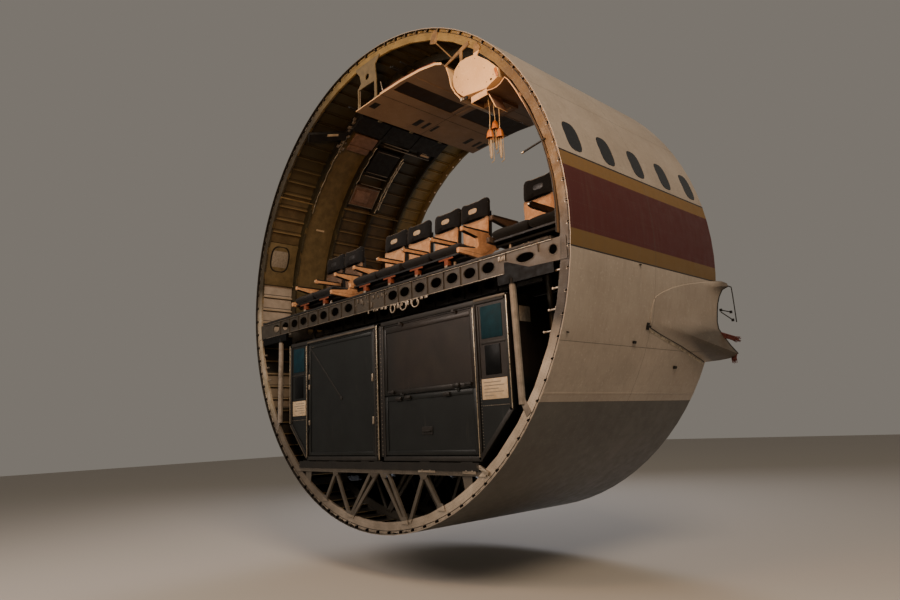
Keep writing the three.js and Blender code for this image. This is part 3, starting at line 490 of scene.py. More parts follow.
def liner_film():
    """The sidewall lining: pale on its cut near edge, brown in the shade above the seats."""
    made, place = start_material("sidewall_lining", Roughness=0.6)
    y, z = axes(place)[1:]
    edge = mix(limits(z, 1.0, 1.25), "#181511", worn(place, "#cfa983", "#b98f6b", "#dfbe99", 2.5))
    wall = worn(place, "#8c6d4f", "#775a40", "#a38465", 2.5)
    wall = mix(limits(z, 1.25, 1.45), wall, worn(place, "#5a4533", "#463526", "#70583f", 2.5))
    return finish_film(made, place, mix(limits(y, 0.011, 0.013), edge, wall))


FINISH = {
    "skin": skin_paint(),
    "frame": frame_metal(),
    "metal": pale_metal(),
    "dark": dark_metal(),
    "container": container_sheet(),
    # The ceiling's moulded panels, in the aisle lamps' shade: darker towards the bin
    "ceiling": two_tone("ceiling_panel_film", "X", (0.0, 1.1),
                        ("#816d58", "#705d4a", "#927e68", 2.5),
                        ("#675748", "#584a3c", "#776654", 2.5), (8.0, 0.5, 0.65), (420.0, 2.0),
                        Roughness=0.55),
    "liner": liner_film(),
    "cream": cabin_plastic("cream_cabin_lining", "#dcb88c", "#c9a476", "#eacca2"),
    # The bin's cream skin; its hanging arms, crown tab and rod above it in gold primer
    "bin": two_tone("bin_skin_and_primed_arms", "Z", (1.949, 1.953),
                    ("#deb586", "#cba373", "#ecc89b", 2.5),
                    ("#8a6c40", "#5c4728", "#b3925c", 14.0), (8.0, 0.45, 0.62), (300.0, 2.0),
                    Roughness=0.5),
    # The service unit: pale at its cut near end, its underside darker brown as painted shade
    "unit": two_tone("service_unit_film", "Y", (0.021, 0.023),
                     ("#d9b48a", "#c29c72", "#e9c9a0", 10.0),
                     ("#5d4835", "#493727", "#735b45", 10.0), (16.0, 0.45, 0.6), (300.0, 2.0),
                     Roughness=0.5),
    "lid": cabin_plastic("lid_inner_film", "#7c5945", "#664736", "#936f58"),
    "floor": floor_board(),
    "cloth": seat_cloth(),
    "leather": tan_leather("tan_leather", "#cfa075", "#b58356", "#e0b78e"),
    # The side struts: scuffed aluminium tube, its black head darkened further as the floor's
    # painted shadow
    "strut": two_tone("strut_tube_and_shadowed_head", "Z", (-0.51, -0.49),
                      ("#8d857b", "#6b645b", "#aaa196", 9.0),
                      ("#060707", "#040404", "#0c0c0c", 9.0), (20.0, 0.38, 0.6), (70.0,),
                      Roughness=0.55, Metallic=0.1, Specular_IOR_Level=0.15),
    # The seats' frames: grey anodised legs, and all above them in black enamel
    "seat_frame": two_tone("seat_frame_coat", "Z", (0.064, 0.07),
                           ("#8a8276", "#6c655b", "#a49b8d", 14.0),
                           ("#171614", "#0d0d0c", "#2b2926", 14.0), (20.0, 0.4, 0.6), (90.0,),
                           Roughness=0.5, Metallic=0.3),
    "hold": hold_boards(),
    # Stretched acrylic of the cabin windows
    "pane": clear_plastic("acrylic_pane", "#1d1f22"),
    # Epoxy chromate primer on brackets, plates and hangers
    "primer": plain_coat("chromate_primer", "#6f6040", "#564a30", "#877652", 0.55, 0.1),
    # Silicone rubber of the mask cups, orange and matt
    "mask": plain_coat("orange_silicone", "#b9702f", "#975820", "#cf8c4b", 0.4, 0.0, 20.0),
    # Clear vinyl tube, yellowed with age
    "hose": plain_coat("clear_vinyl_hose", "#c9b998", "#ab9a78", "#ded2b8", 0.3, 0.0, 30.0),
    # Smoked polycarbonate of the containers' blind windows
    "dark_pane": plain_coat("smoked_polycarbonate", "#090c0e", "#060708", "#101416", 0.4, 0.0,
                            6.0, 90.0, 0.12),
    # Quilted film over glass wool, dusty
    "blanket": plain_coat("quilted_blanket_film", "#7d6355", "#5f4a3e", "#a08474", 0.6, 0.0,
                          16.0, 30.0),
    # The middle of the quilted blanket, paler where it is stretched
    "quilt": plain_coat("quilted_blanket_middle", "#8b7164", "#6c554a", "#a98f80", 0.65, 0.0,
                        18.0, 40.0),
    # Rolled aluminium wiped bright where hands and cargo nets rub it
    "bright": plain_coat("bright_aluminium_edge", "#cdc0a9", "#a39781", "#e6dcc8", 0.3, 0.75,
                         16.0),
    # Baked polyester coat on the containers' name panels, left blank
    "teal": plain_coat("teal_polyester_coat", "#0d2f3a", "#08222b", "#1a4450", 0.6, 0.0, 12.0,
                       90.0, 0.12),
    # Self-adhesive vinyl plate, blank
    "placard": plain_coat("blank_vinyl_placard", "#bda98c", "#a89476", "#cfbb9e", 0.5, 0.0, 30.0),
    # Woven polyester webbing and tape
    "strap": plain_coat("polyester_webbing", "#8b8376", "#6e675b", "#a39b8d", 0.8, 0.0, 40.0,
                        500.0),
    # Dark sheets in the ceiling's lamp troughs: painted shade of the recesses
    "trough": plain_coat("lamp_trough_painted_shade", "#261c12", "#1b130c", "#35281b", 0.5, 0.0, 6.0,
                         90.0, 0.2),
    # Opal acrylic over the walls' lamps
    "lamp": plain_coat("opal_lamp_diffuser", "#b5a68c", "#9d8f77", "#c9bca3", 0.4, 0.0, 12.0),
    # Extruded posts of the containers' frames, oxidised grey-brown
    "post": plain_coat("oxidised_frame_extrusion", "#262421", "#1a1917", "#3d3933", 0.5, 0.3, 8.0),
    # Unpolished aluminium rails and brackets
    "rail": plain_coat("dull_rail_extrusion", "#5a5246", "#453f36", "#776d5f", 0.5, 0.3, 8.0),
    # Moulded polycarbonate of the seats' rear shells
    "shell": plain_coat("charcoal_seat_shell", "#2e2f31", "#232426", "#414346", 0.45, 0.0, 20.0,
                        300.0),
    # Coated nylon of the life vests' pouches
    "vest": plain_coat("orange_nylon_pouch", "#7d3f20", "#632f17", "#96542f", 0.75, 0.0, 40.0,
                       400.0),
    # Bolt heads on the far ring, near white as painted glints
    "bolt": plain_coat("far_ring_bolt_glints", "#f1e9d9", "#d6cdba", "#fffaf0", 0.3, 0.0, 30.0),
    # Thin clear bags, creased and yellowed
    "bag": plain_coat("creased_mask_bag", "#8f7f62", "#75674d", "#aa9a7b", 0.4, 0.0, 30.0),
    # Gold chromate conversion coat on the wall's cross bars, and on the ring caps' edges, where it
    # also stands for a painted highlight
    "trim_gold": plain_coat("gold_chromate_bar", "#8d774c", "#6c5935", "#a99264", 0.5, 0.2),
    # Glass cloth and bond, torn and stained red
    "frayed": plain_coat("torn_glass_cloth", "#5d2c24", "#431d18", "#7d4539", 0.9, 0.0, 60.0,
                         400.0),
}
# The finish of the model's solids, by the start of their names: the first that fits is taken
SOLID_FINISH = (
    ("skin", "skin"), ("fairing_stub", "skin"), ("ring_frame", "frame"), ("floor_beam", "frame"),
    ("side_strut", "strut"), ("hold_floor", "hold"), ("hold_liner", "dark"),
    ("cabin_deck", "floor"), ("container", "container"), ("ceiling_panel", "ceiling"),
    ("ceiling_hangers", "primer"), ("wall_trim_panel", "primer"), ("air_duct", "dark"),
    ("light_rail", "dark"), ("stowage_bin_door", "cream"), ("stowage_bin", "bin"),
    ("service_unit", "unit"), ("mask_lid", "lid"), ("oxygen_mask", "mask"),
    ("mask_hose", "hose"), ("sidewall_liner", "liner"), ("insulation_pad", "blanket"),
    ("seat_frame", "seat_frame"), ("armrest", "leather"), ("seat", "cloth"))


def soften_edges():
    """One node group that joins a solid's loose triangles and rounds its shading where faces
    meet at less than 30 degrees."""
    group = bpy.data.node_groups.new("soft_shading", "GeometryNodeTree")
    for way in ("INPUT", "OUTPUT"):
        group.interface.new_socket("Geometry", in_out=way, socket_type="NodeSocketGeometry")
    given, merge, angle, compare, faces, edges, result = [group.nodes.new(kind) for kind in (
        "NodeGroupInput", "GeometryNodeMergeByDistance", "GeometryNodeInputMeshEdgeAngle",
        "FunctionNodeCompare", "GeometryNodeSetShadeSmooth", "GeometryNodeSetShadeSmooth",
        "NodeGroupOutput")]
    faces.domain, edges.domain = "FACE", "EDGE"
    edges.inputs["Shade Smooth"].default_value = False
    merge.inputs["Distance"].default_value = 1e-5
    compare.operation = "GREATER_THAN"
    compare.inputs[1].default_value = math.radians(30)
    for source, target, key in ((given, merge, 0), (merge, faces, 0), (faces, edges, 0),
                                (angle, compare, 0), (compare, edges, "Selection"),
                                (edges, result, 0)):
        group.links.new(source.outputs[0], target.inputs[key])
    return group


SOFT_SHADING = soften_edges()


def dress_solids():
    """Every solid of the model gets its finish and soft shading."""
    for name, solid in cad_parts.items():
        finish = next(FINISH[key] for start, key in SOLID_FINISH if name.startswith(start))
        for spot in solid.material_slots:
            spot.material = finish
        if not solid.material_slots:
            solid.data.materials.append(finish)
        solid.modifiers.new("soft_shading", "NODES").node_group = SOFT_SHADING


def studio():
    """A plain pale floor and soft lamps."""
    bm = bmesh.new()
    bmesh.ops.create_grid(bm, x_segments=1, y_segments=1, size=40)
    bmesh.ops.translate(bm, vec=(0, 0, -3.3), verts=bm.verts)
    floor = mesh_object("studio_floor", bm)
    paper = start_material("pale_studio_floor", Base_Color="#b5aea4", Roughness=0.8)[0]
    floor.data.materials.append(paper)
    world = bpy.data.worlds.new("studio")
    world.use_nodes = True
    glow = world.node_tree.nodes["Background"]
    glow.inputs["Color"].default_value = hex_colour("#cfc6ba")
    glow.inputs["Strength"].default_value = 0.32
    bpy.context.scene.world = world
    lamps = [
        # name, place, aim, size, watts, colour
        ("key", (8.5, -4.0, 6.5), (1.0, 1.0, 0.0), 4.0, 860, "#ffe7cc"),
        ("front", (-2.5, -7.0, 3.0), (0.0, 0.5, 0.0), 4.0, 420, "#ffeee2"),
        ("cabin", (2.3, -2.4, 0.9), (1.5, 0.2, 1.9), 0.8, 95, "#ffbe82"),
        ("rear", (-5.0, 8.0, 5.0), (0.0, 1.3, 0.0), 4.0, 420, "#eef1ff"),
    ]
    for name, spot, aim, size, watts, colour in lamps:
        data = bpy.data.lights.new(name, "AREA")
        data.size = size
        data.energy = watts
        data.color = hex_colour(colour)[:3]
        lamp = put_in_scene(name, data)
        lamp.location = spot
        lamp.rotation_euler = (Vector(aim) - Vector(spot)).to_track_quat("-Z", "Y").to_euler()


# Making pieces
def block(bm, start, end):
    """A box between two opposite corners."""
    low = Vector([min(pair) for pair in zip(start, end)])
    high = Vector([max(pair) for pair in zip(start, end)])
    made = bmesh.ops.create_cube(bm, size=1)["verts"]
    bmesh.ops.scale(bm, vec=high - low, verts=made)
    bmesh.ops.translate(bm, vec=(low + high) / 2, verts=made)
    return made


def bar(bm, start, end, radius, sides=10, end_radius=None):
    """A round bar between two points."""
    a, b = Vector(start), Vector(end)
    turn = (b - a).to_track_quat("Z", "Y").to_matrix().to_4x4()
    return bmesh.ops.create_cone(
        bm, cap_ends=True, segments=sides, radius1=radius, depth=(b - a).length,
        radius2=radius if end_radius is None else end_radius,
        matrix=Matrix.Translation((a + b) / 2) @ turn)["verts"]


def pin(bm, x, z, y0, y1, radius, sides=10):
    """A round pin or fastener's head along the barrel, between two depths."""
    return bar(bm, (x, y0, z), (x, y1, z), radius, sides)


def cable(bm, points, radius, sides=8):
    """Round bars from each point to the next."""
    for a, b in zip(points, points[1:]):
        bar(bm, a, b, radius, sides)


def strip(bm, start, end, wide, y0, y1):
    """A flat strip from one [x, z] point to another, between two depths."""
    a, b = Vector((start[0], 0, start[1])), Vector((end[0], 0, end[1]))
    made = block(bm, (-wide / 2, y0, 0), (wide / 2, y1, (b - a).length))
    flat = Matrix.Rotation(math.atan2(b.x - a.x, b.z - a.z), 4, "Y")
    bmesh.ops.transform(bm, matrix=Matrix.Translation(a) @ flat, verts=made)
    return made


def prism(bm, outline, axis, low, high):
    """A flat outline pushed along an axis: [y, z] along X, or [x, z] along Y."""
    spots = [(low, u, v) if axis == "X" else (u, low, v) for u, v in outline]
    face = bm.faces.new([bm.verts.new(spot) for spot in spots])
    pushed = bmesh.ops.extrude_face_region(bm, geom=[face])["geom"]
    made = [v for v in pushed if isinstance(v, bmesh.types.BMVert)]
    way = Vector((1, 0, 0)) if axis == "X" else Vector((0, 1, 0))
    bmesh.ops.translate(bm, vec=way * (high - low), verts=made)


def arc(bm, inner, outer, y0, y1, start, end, steps, ring=False):
    """A band of the barrel between two radii, two depths and two angles in degrees."""
    corners = [(inner, y0), (outer, y0), (outer, y1), (inner, y1)]
    turn = math.radians(start)
    face = bm.faces.new([bm.verts.new((r * math.cos(turn), y, r * math.sin(turn)))
                         for r, y in corners])
    geom = [face] + list(face.verts) + list(face.edges)
    if ring:
        geom = list(face.verts) + list(face.edges)
        bm.faces.remove(face)
    bmesh.ops.spin(bm, geom=geom, cent=(0, 0, 0), axis=(0, 1, 0),
                   angle=math.radians(start - end), steps=steps, use_merge=ring)


def oval(bm, wide, high, power=3.0, sides=28):
    """A rounded outline in the Y-Z plane, round x = 0."""
    made = bmesh.ops.create_circle(bm, segments=sides, radius=1)["verts"]
    for v in made:
        pull = (abs(v.co.x) ** power + abs(v.co.y) ** power) ** (-1 / power)
        v.co = Vector((0, v.co.x * pull * wide / 2, v.co.y * pull * high / 2))
    return made


def pushed_back(bm, faces, deep):
    """Gives flat faces a depth towards -X, and returns all of the closed solid's points."""
    front = {v for f in faces for v in f.verts}
    made = bmesh.ops.extrude_face_region(bm, geom=faces)["geom"]
    back = [v for v in made if isinstance(v, bmesh.types.BMVert)]
    bmesh.ops.translate(bm, vec=(-deep, 0, 0), verts=back)
    return list(front) + back


def oval_plate(bm, wide, high, deep, power=3.0, sides=28):
    """A flat rounded plate in the Y-Z plane, from x = 0 back to a depth."""
    return pushed_back(bm, [bm.faces.new(oval(bm, wide, high, power, sides))], deep)


def oval_ring(bm, wide, high, border, deep, power=3.0, sides=28):
    """A flat rounded ring in the Y-Z plane, from x = 0 back to a depth."""
    loops = [oval(bm, wide - 2 * cut, high - 2 * cut, power, sides) for cut in (0.0, border)]
    edges = list({e for v in loops[0] + loops[1] for e in v.link_edges})
    return pushed_back(bm, bmesh.ops.bridge_loops(bm, edges=edges)["faces"], deep)


def at_angle(made, bm, degrees, radius):
    """Turns what was made round x = 0, z = 0 out to a place on the barrel."""
    place = Matrix.Rotation(-math.radians(degrees), 4, "Y") @ Matrix.Translation((radius, 0, 0))
    bmesh.ops.transform(bm, matrix=place, verts=made)


def turned_block(bm, low, high, angle, radius, slant=0.0):
    """A box given as (out, along, round) from a place on the barrel, turned about its way out."""
    made = block(bm, low, high)
    middle = Vector((0, (low[1] + high[1]) / 2, 0))
    lean = Matrix.Translation(middle) @ Matrix.Rotation(math.radians(slant), 4, "X")
    bmesh.ops.transform(bm, matrix=lean @ Matrix.Translation(-middle), verts=made)
    at_angle(made, bm, angle, radius)


def face_forward(bm, made):
    """Turns what was made in the Y-Z plane until it looks out of the near cut."""
    bmesh.ops.rotate(bm, verts=made, matrix=Matrix.Rotation(math.radians(-90), 3, "Z"))


def piece(name, bm, finish, body="root", bevel=0.0, segments=2, slot=None):
    """Makes an object of a form, rounds its edges and gives it its finish and body."""
    bmesh.ops.recalc_face_normals(bm, faces=bm.faces)
    made = mesh_object(name, bm)
    made.data.materials.append(FINISH[finish])
    if bevel:
        rounding = made.modifiers.new("rounded_edges", "BEVEL")
        rounding.width = bevel
        rounding.segments = segments
        rounding.limit_method = "ANGLE"
        rounding.angle_limit = math.radians(30)
    made.modifiers.new("soft_shading", "NODES").node_group = SOFT_SHADING
    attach(made, body)
    return made


def made_of(name, finish, shape, parts, body="root", **how):
    """A piece of one or many like parts: one shape, made with each set of values."""
    bm = bmesh.new()
    for values in parts:
        shape(bm, *values)
    return piece(name, bm, finish, body, **how)


# Cords: each mask hangs on its clear hose
MASK_HOSES = (
    # x, y, z of the mask's top, bow
    (1.860, 0.140, 1.140, 0.010),
    (1.893, 0.186, 1.235, -0.008),
    (1.945, 0.190, 1.130, 0.004),
)
HOSES_IN_MODEL = 2
HOSE_TOP = 1.4912
MASK_HIGH = 0.092


def smooth_line(points, count):
    """Evenly parted points on a smooth curve through the points given (a Catmull-Rom curve)."""
    spots = [Vector(p) for p in points]
    spots = [spots[0] * 2 - spots[1]] + spots + [spots[-1] * 2 - spots[-2]]
    fine = []
    for k in range(1, len(spots) - 2):
        a, b, c, d = spots[k - 1:k + 3]
        for step in range(24):
            t = step / 24
            fine.append(0.5 * ((2 * b) + (c - a) * t + (2 * a - 5 * b + 4 * c - d) * t * t
                               + (3 * b - a - 3 * c + d) * t ** 3))
    fine.append(spots[-2])
    lengths = [0.0]
    for p, q in zip(fine, fine[1:]):
        lengths.append(lengths[-1] + (q - p).length)
    line, k = [], 0
    for n in range(count):
        want = lengths[-1] * n / (count - 1)
        while k < len(lengths) - 2 and lengths[k + 1] < want:
            k += 1
        span = lengths[k + 1] - lengths[k]
        line.append(fine[k].lerp(fine[k + 1], (want - lengths[k]) / span))
    return line, lengths[-1]


def mask_hoses():
    """Each hose hangs from the service unit's underside to its mask, as a cord."""
    for number, (x, y, z, bow) in enumerate(MASK_HOSES, 1):
        route = [(x, y, HOSE_TOP), (x, y, HOSE_TOP - 0.04), (x + bow, y, (z + HOSE_TOP) / 2),
                 (x, y, z + 0.04), (x, y, z + 0.0003)]
        line, length = smooth_line(route, 24)
        curve = bpy.data.curves.new(f"hose_line_{number}", "CURVE")
        curve.dimensions = "3D"
        curve.bevel_depth = 0.004
        curve.bevel_resolution = 3
        curve.use_fill_caps = True
        spline = curve.splines.new("POLY")
        spline.points.add(len(line) - 1)
        for spot, point in zip(line, spline.points):
            point.co = (*spot, 1)
        curve.materials.append(FINISH["hose"])
        hose = put_in_scene(f"hose_{number}", curve)
        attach(hose, "root")
        if number <= HOSES_IN_MODEL:
            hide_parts(f"mask_hose_{number}")
        mask_cup(number, x, y, z)


def mask_cup(number, x, y, z):
    """A moulded mask cup hanging from its hose, mouth down, with a rim and a stiff neck."""
    bm = bmesh.new()
    section = [(0.0, MASK_HIGH), (0.012, 0.091), (0.016, 0.078), (0.026, 0.074), (0.033, 0.05),
               (0.038, 0.016), (0.0405, 0.008), (0.0405, 0.0), (0.036, 0.0), (0.034, 0.014),
               (0.029, 0.046), (0.0, 0.06)]
    verts = [bm.verts.new((r, 0, h)) for r, h in section]
    edges = [bm.edges.new(pair) for pair in zip(verts, verts[1:])]
    bmesh.ops.spin(bm, geom=verts + edges, cent=(0, 0, 0), axis=(0, 0, 1), angle=math.tau,
                   steps=28, use_merge=True)
    bmesh.ops.remove_doubles(bm, verts=bm.verts, dist=1e-5)
    bmesh.ops.translate(bm, vec=(x, y, z - MASK_HIGH), verts=bm.verts)
    cup = piece(f"mask_cup_{number}", bm, "mask")
    if number <= HOSES_IN_MODEL:
        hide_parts(f"oxygen_mask_{number}")
    return cup


# The barrel's structure
def ring_trims():
    """Behind each ring frame's web a cap stiffens its inner edge. Between the stringers, shear
    plates join the web to the skin, and a bead of bolts runs round the near web."""
    made_of("ring_inner_caps", "frame", arc,
            [(RING_IN + 0.0002, RING_IN + 0.0035, y + 0.003, y + 0.024, 0, 360, 45, True)
             for y in RING_Y])
    # Gold strips on the caps' edges on the left wall: painted highlights
    made_of("ring_cap_edge_highlights", "trim_gold", arc,
            [(RING_IN - 0.0022, RING_IN + 0.0004, y + back, y + back + 0.0044, 112, 177, 22)
             for y in RING_Y[:3] for back in (0.0028, 0.0208)])
    stringers = [2 + 4 * k for k in range(90)]
    made_of("ring_shear_plates", "frame", arc,
            [(2.7842, 2.8092, y - 0.0025, y + 0.0025, angle + first, angle + last, 1)
             for y in RING_Y for angle in stringers for first, last in ((0.5, 2.0), (2.0, 3.85))])
    bolts = bmesh.new()
    near = RING_Y[0]
    for angle in stringers:
        for turn, radius in ((angle + 1.2, 2.797), (angle + 2.9, 2.797), (angle, 2.766)):
            made = pin(bolts, 0, 0, near - 0.0055, near - 0.0025, 0.005, 8)
            at_angle(made, bolts, turn, radius)
    piece("ring_bolts", bolts, "metal")
    bm = bmesh.new()
    for side in (1, -1):
        for x, z in ((2.574, -0.47), (2.56, -0.62), (2.5, -0.8), (2.43, -0.98)):
            block(bm, (side * x, 0.034, z - 0.007), (side * (x + 0.1), 0.05, z + 0.007))
            pin(bm, side * x, z, 0.028, 0.056, 0.012, 8)
    piece("ring_edge_brackets", bm, "metal", bevel=0.0015)


def skin_edges():
    """Lap straps along the four joints between the skin's panels."""
    made_of("skin_lap_straps", "skin", turned_block,
            [((-0.002, 0.001, -0.012), (0.0012, LENGTH - 0.001, 0.012), angle, SKIN_R)
             for angle in (-32, 52, 128, 212)], bevel=0.0005)


def windows():
    """Each window: a pane in the skin, a rubber seal and a pressed frame behind it."""
    angle = math.degrees(math.asin(WINDOW_Z / 2.814))
    for name, turn in (("right", angle), ("left", 180 - angle)):
        panes, seals, frames = bmesh.new(), bmesh.new(), bmesh.new()
        for y in WINDOW_Y:
            for bm, made, radius in (
                    (panes, oval_plate(panes, 0.2185, 0.3275, 0.006), 2.8165),
                    (seals, oval_ring(seals, 0.238, 0.346, 0.014, 0.004), 2.8115),
                    (frames, oval_ring(frames, 0.29, 0.40, 0.034, 0.009), 2.8072)):
                bmesh.ops.translate(bm, vec=(0, y, 0), verts=made)
                at_angle(made, bm, turn, radius)
        piece(f"window_panes_{name}", panes, "pane", slot="window_pane")
        piece(f"window_seals_{name}", seals, "dark", slot="black_rubber")
        piece(f"window_frames_{name}", frames, "frame", bevel=0.002)


def window_blank():
    """The left wall's near bay: a plate over it, with a blank where its window would be."""
    made_of("window_bay_plate", "primer", arc, [(2.772, 2.776, 0.05, 0.55, 157.5, 170.5, 4)],
            bevel=0.001)
    for name, finish, shape, sizes in (
            ("window_blank", "strap", oval_plate, (0.255, 0.345, 0.003)),
            ("window_blank_rim", "dark", oval_ring, (0.305, 0.395, 0.02, 0.007))):
        bm = bmesh.new()
        made = shape(bm, *sizes)
        bmesh.ops.translate(bm, vec=(0, 0.286, 0), verts=made)
        at_angle(made, bm, 162.4, 2.7715)
        piece(name, bm, finish, bevel=0.001)


def window_reveals():
    """Moulded funnels from the skin's windows to the liner's."""
    bm = bmesh.new()
    for y in WINDOW_Y:
        outer = oval(bm, 0.24, 0.335)
        inner = oval(bm, 0.252, 0.345)
        for v in outer:
            high = v.co.z + WINDOW_Z
            v.co = (math.sqrt(2.788 ** 2 - high ** 2), v.co.y + y, high)
        for v in inner:
            high = v.co.z + WINDOW_Z
            v.co = (2.672 - (high - 0.333) * 0.262, v.co.y + y, high)
        edges = list({e for v in outer + inner for e in v.link_edges})
        faces = bmesh.ops.bridge_loops(bm, edges=edges)["faces"]
        bmesh.ops.solidify(bm, geom=faces, thickness=0.003)
    piece("window_reveals", bm, "cream")


# The cabin floor
def beam_trims():
    """Pressed rims round the beams' holes, and stiffeners between them."""
    rims, bars = bmesh.new(), bmesh.new()
    for ring in (RING_Y[0], RING_Y[1], RING_Y[5]):
        front = ring - 0.0093
        for x, wide, high in BEAM_HOLES:
            made = oval_ring(rims, wide + 0.01, high + 0.01, 0.0055, 0.0045, 2.0, 24)
            face_forward(rims, made)
            bmesh.ops.translate(rims, vec=(x, front - 0.004, BEAM_MIDDLE), verts=made)
        spots = [x for x, _, _ in BEAM_HOLES]
        for a, b in zip(spots, spots[1:]):
            middles = [a + 0.14, (a + b) / 2, b - 0.14] if b - a > 0.5 else [(a + b) / 2]
            for x in middles:
                low = -0.381 if x < 2.0 else -0.27
                block(bars, (x - 0.0015, front - 0.014, low), (x + 0.0015, front, DECK_UNDER))
                block(bars, (x - 0.0015, front - 0.002, low), (x + 0.014, front, DECK_UNDER))
    piece("beam_hole_rims", rims, "frame")
    piece("beam_stiffeners", bars, "frame")


def deck_trims():
    """The seat tracks' lips, and clips and trim along the deck's near edge."""
    tracks = [middle + side * (count * SEAT_PITCH / 2 - 0.19)
              for _, middle, count in SEAT_UNITS for side in (-1, 1)]
    made_of("seat_track_lips", "metal", block,
            [((x + gap - 0.006, 0.006, DECK_TOP), (x + gap + 0.006, 2.639, DECK_TOP + 0.004))
             for x in tracks for gap in (-0.031, 0.031)], bevel=0.0008)
    bm = bmesh.new()
    for k in range(15):
        x = -2.45 + 0.35 * k
        block(bm, (x - 0.016, 0.0065, DECK_UNDER), (x + 0.016, 0.0205, -0.186))
        bar(bm, (x, 0.013, -0.194), (x, 0.013, -0.18), 0.006, 8)
    for k in range(5):
        block(bm, (1.972 + 0.018 * k, 0.0125, -0.262), (1.98 + 0.018 * k, 0.0208, -0.212))
    piece("deck_edge_clips", bm, "metal", bevel=0.001)
    made_of("beam_edge_lines", "metal", block,
            (((-2.56, 0.0075, -0.1985), (2.6, 0.0105, -0.1945)),
             ((-2.5, 0.0075, -0.3895), (2.03, 0.0105, -0.3855))))
    made_of("deck_edge_trim", "dark", block,
            [((-2.58, 0.0005, DECK_TOP - 0.024), (2.58, 0.0048, DECK_TOP - 0.002))], bevel=0.001)


def floor_fittings():
    """At the middle of the near beam, pipe clips hang below it and brackets crowd its web."""
    draw = random.Random(31)
    bm = bmesh.new()
    for x, wide in ((0.565, 0.12), (0.765, 0.12), (0.38, 0.09)):
        made = oval_ring(bm, wide, 0.1, 0.012, 0.014, 2.0, 20)
        face_forward(bm, made)
        bmesh.ops.translate(bm, vec=(x, 0.008, -0.435), verts=made)
    for k in range(14):
        x = -0.05 + 0.075 * k + draw.uniform(-0.02, 0.02)
        wide, high = draw.uniform(0.008, 0.03), draw.uniform(0.02, 0.06)
        block(bm, (x - wide, 0.012, -0.386 - high), (x + wide, 0.02, -0.383))
    piece("floor_centre_fittings", bm, "metal", bevel=0.002)
    bm = bmesh.new()
    for k in range(13):
        x = -0.32 + 0.05 * k + draw.uniform(-0.015, 0.015)
        wide, high = draw.uniform(0.008, 0.02), draw.uniform(0.02, 0.06)
        top = draw.uniform(-0.32, -0.2)
        block(bm, (x - wide, 0.0105, top - high), (x + wide, 0.0209, top))
    piece("floor_web_brackets", bm, "rail", bevel=0.002)


# The containers: each one's hand, and where its own x starts. The left mirrors the right.
CONTAINERS = ((1, 0.0), (-1, 0.21))
CONTAINER_CORNERS = [(0.122, -0.565), (2.048, -0.565), (2.048, -1.613), (1.622, -2.056),
                     (0.122, -2.056)]
POST_BACK = 0.0195
LEAF_FACE = 0.0199


def hold_x(container, x):
    """Where an x measured on a container lies in the hold."""
    hand, start = container
    return start + hand * x


def container_strip(bm, container, start, end, wide, y0, y1):
    """A strip whose ends' x is measured on a container."""
    a, b = [(hold_x(container, x), z) for x, z in (start, end)]
    strip(bm, a, b, wide, y0, y1)


def container_frames():
    """Extruded posts and rails on the containers' fronts, some with bright wiped edges."""
    posts = bmesh.new()
    middle = Vector((1.0, -1.25))
    for each in CONTAINERS:
        for start, end in zip(CONTAINER_CORNERS, CONTAINER_CORNERS[1:] + CONTAINER_CORNERS[:1]):
            a, b = Vector(start), Vector(end)
            way = (b - a).normalized()
            inward = Vector((-way.y, way.x))
            if inward.dot(middle - a) < 0:
                inward.negate()
            container_strip(posts, each, a + inward * 0.022, b + inward * 0.022, 0.044, 0.008,
                            POST_BACK)
        for start, end, wide, near in (((0.186, -0.61), (0.186, -2.02), 0.028, 0.006),
                                       ((1.622, -0.61), (1.622, -2.02), 0.028, 0.006),
                                       ((1.69, -0.985), (2.0, -0.985), 0.022, 0.013),
                                       ((1.66, -1.3), (1.66, -0.63), 0.018, 0.012)):
            container_strip(posts, each, start, end, wide, near, POST_BACK)
    piece("container_posts", posts, "post", bevel=0.0025)
    right, left = CONTAINERS
    made_of("container_bright_edges", "bright", container_strip,
            [(each, (x, top), (x, low), wide, near, near + 0.006)
             for each, x, top, low, wide, near in (
                 (right, 2.042, -0.58, -1.6, 0.01, 0.002),
                 (right, 1.611, -0.63, -2.02, 0.008, 0.0),
                 (left, 2.042, -0.58, -1.6, 0.01, 0.002),
                 (left, 0.128, -0.58, -2.05, 0.01, 0.002),
                 (left, 1.624, -0.63, -2.02, 0.008, 0.0))], bevel=0.0015)
    made_of("container_dull_rails", "rail", strip,
            (((-1.39, -0.592), (0.06, -0.592), 0.02, 0.002, 0.008),
             ((1.63, -0.572), (2.03, -0.572), 0.024, 0.002, 0.008),
             ((-1.826, -1.62), (-1.43, -2.032), 0.009, 0.002, 0.008)), bevel=0.0012)


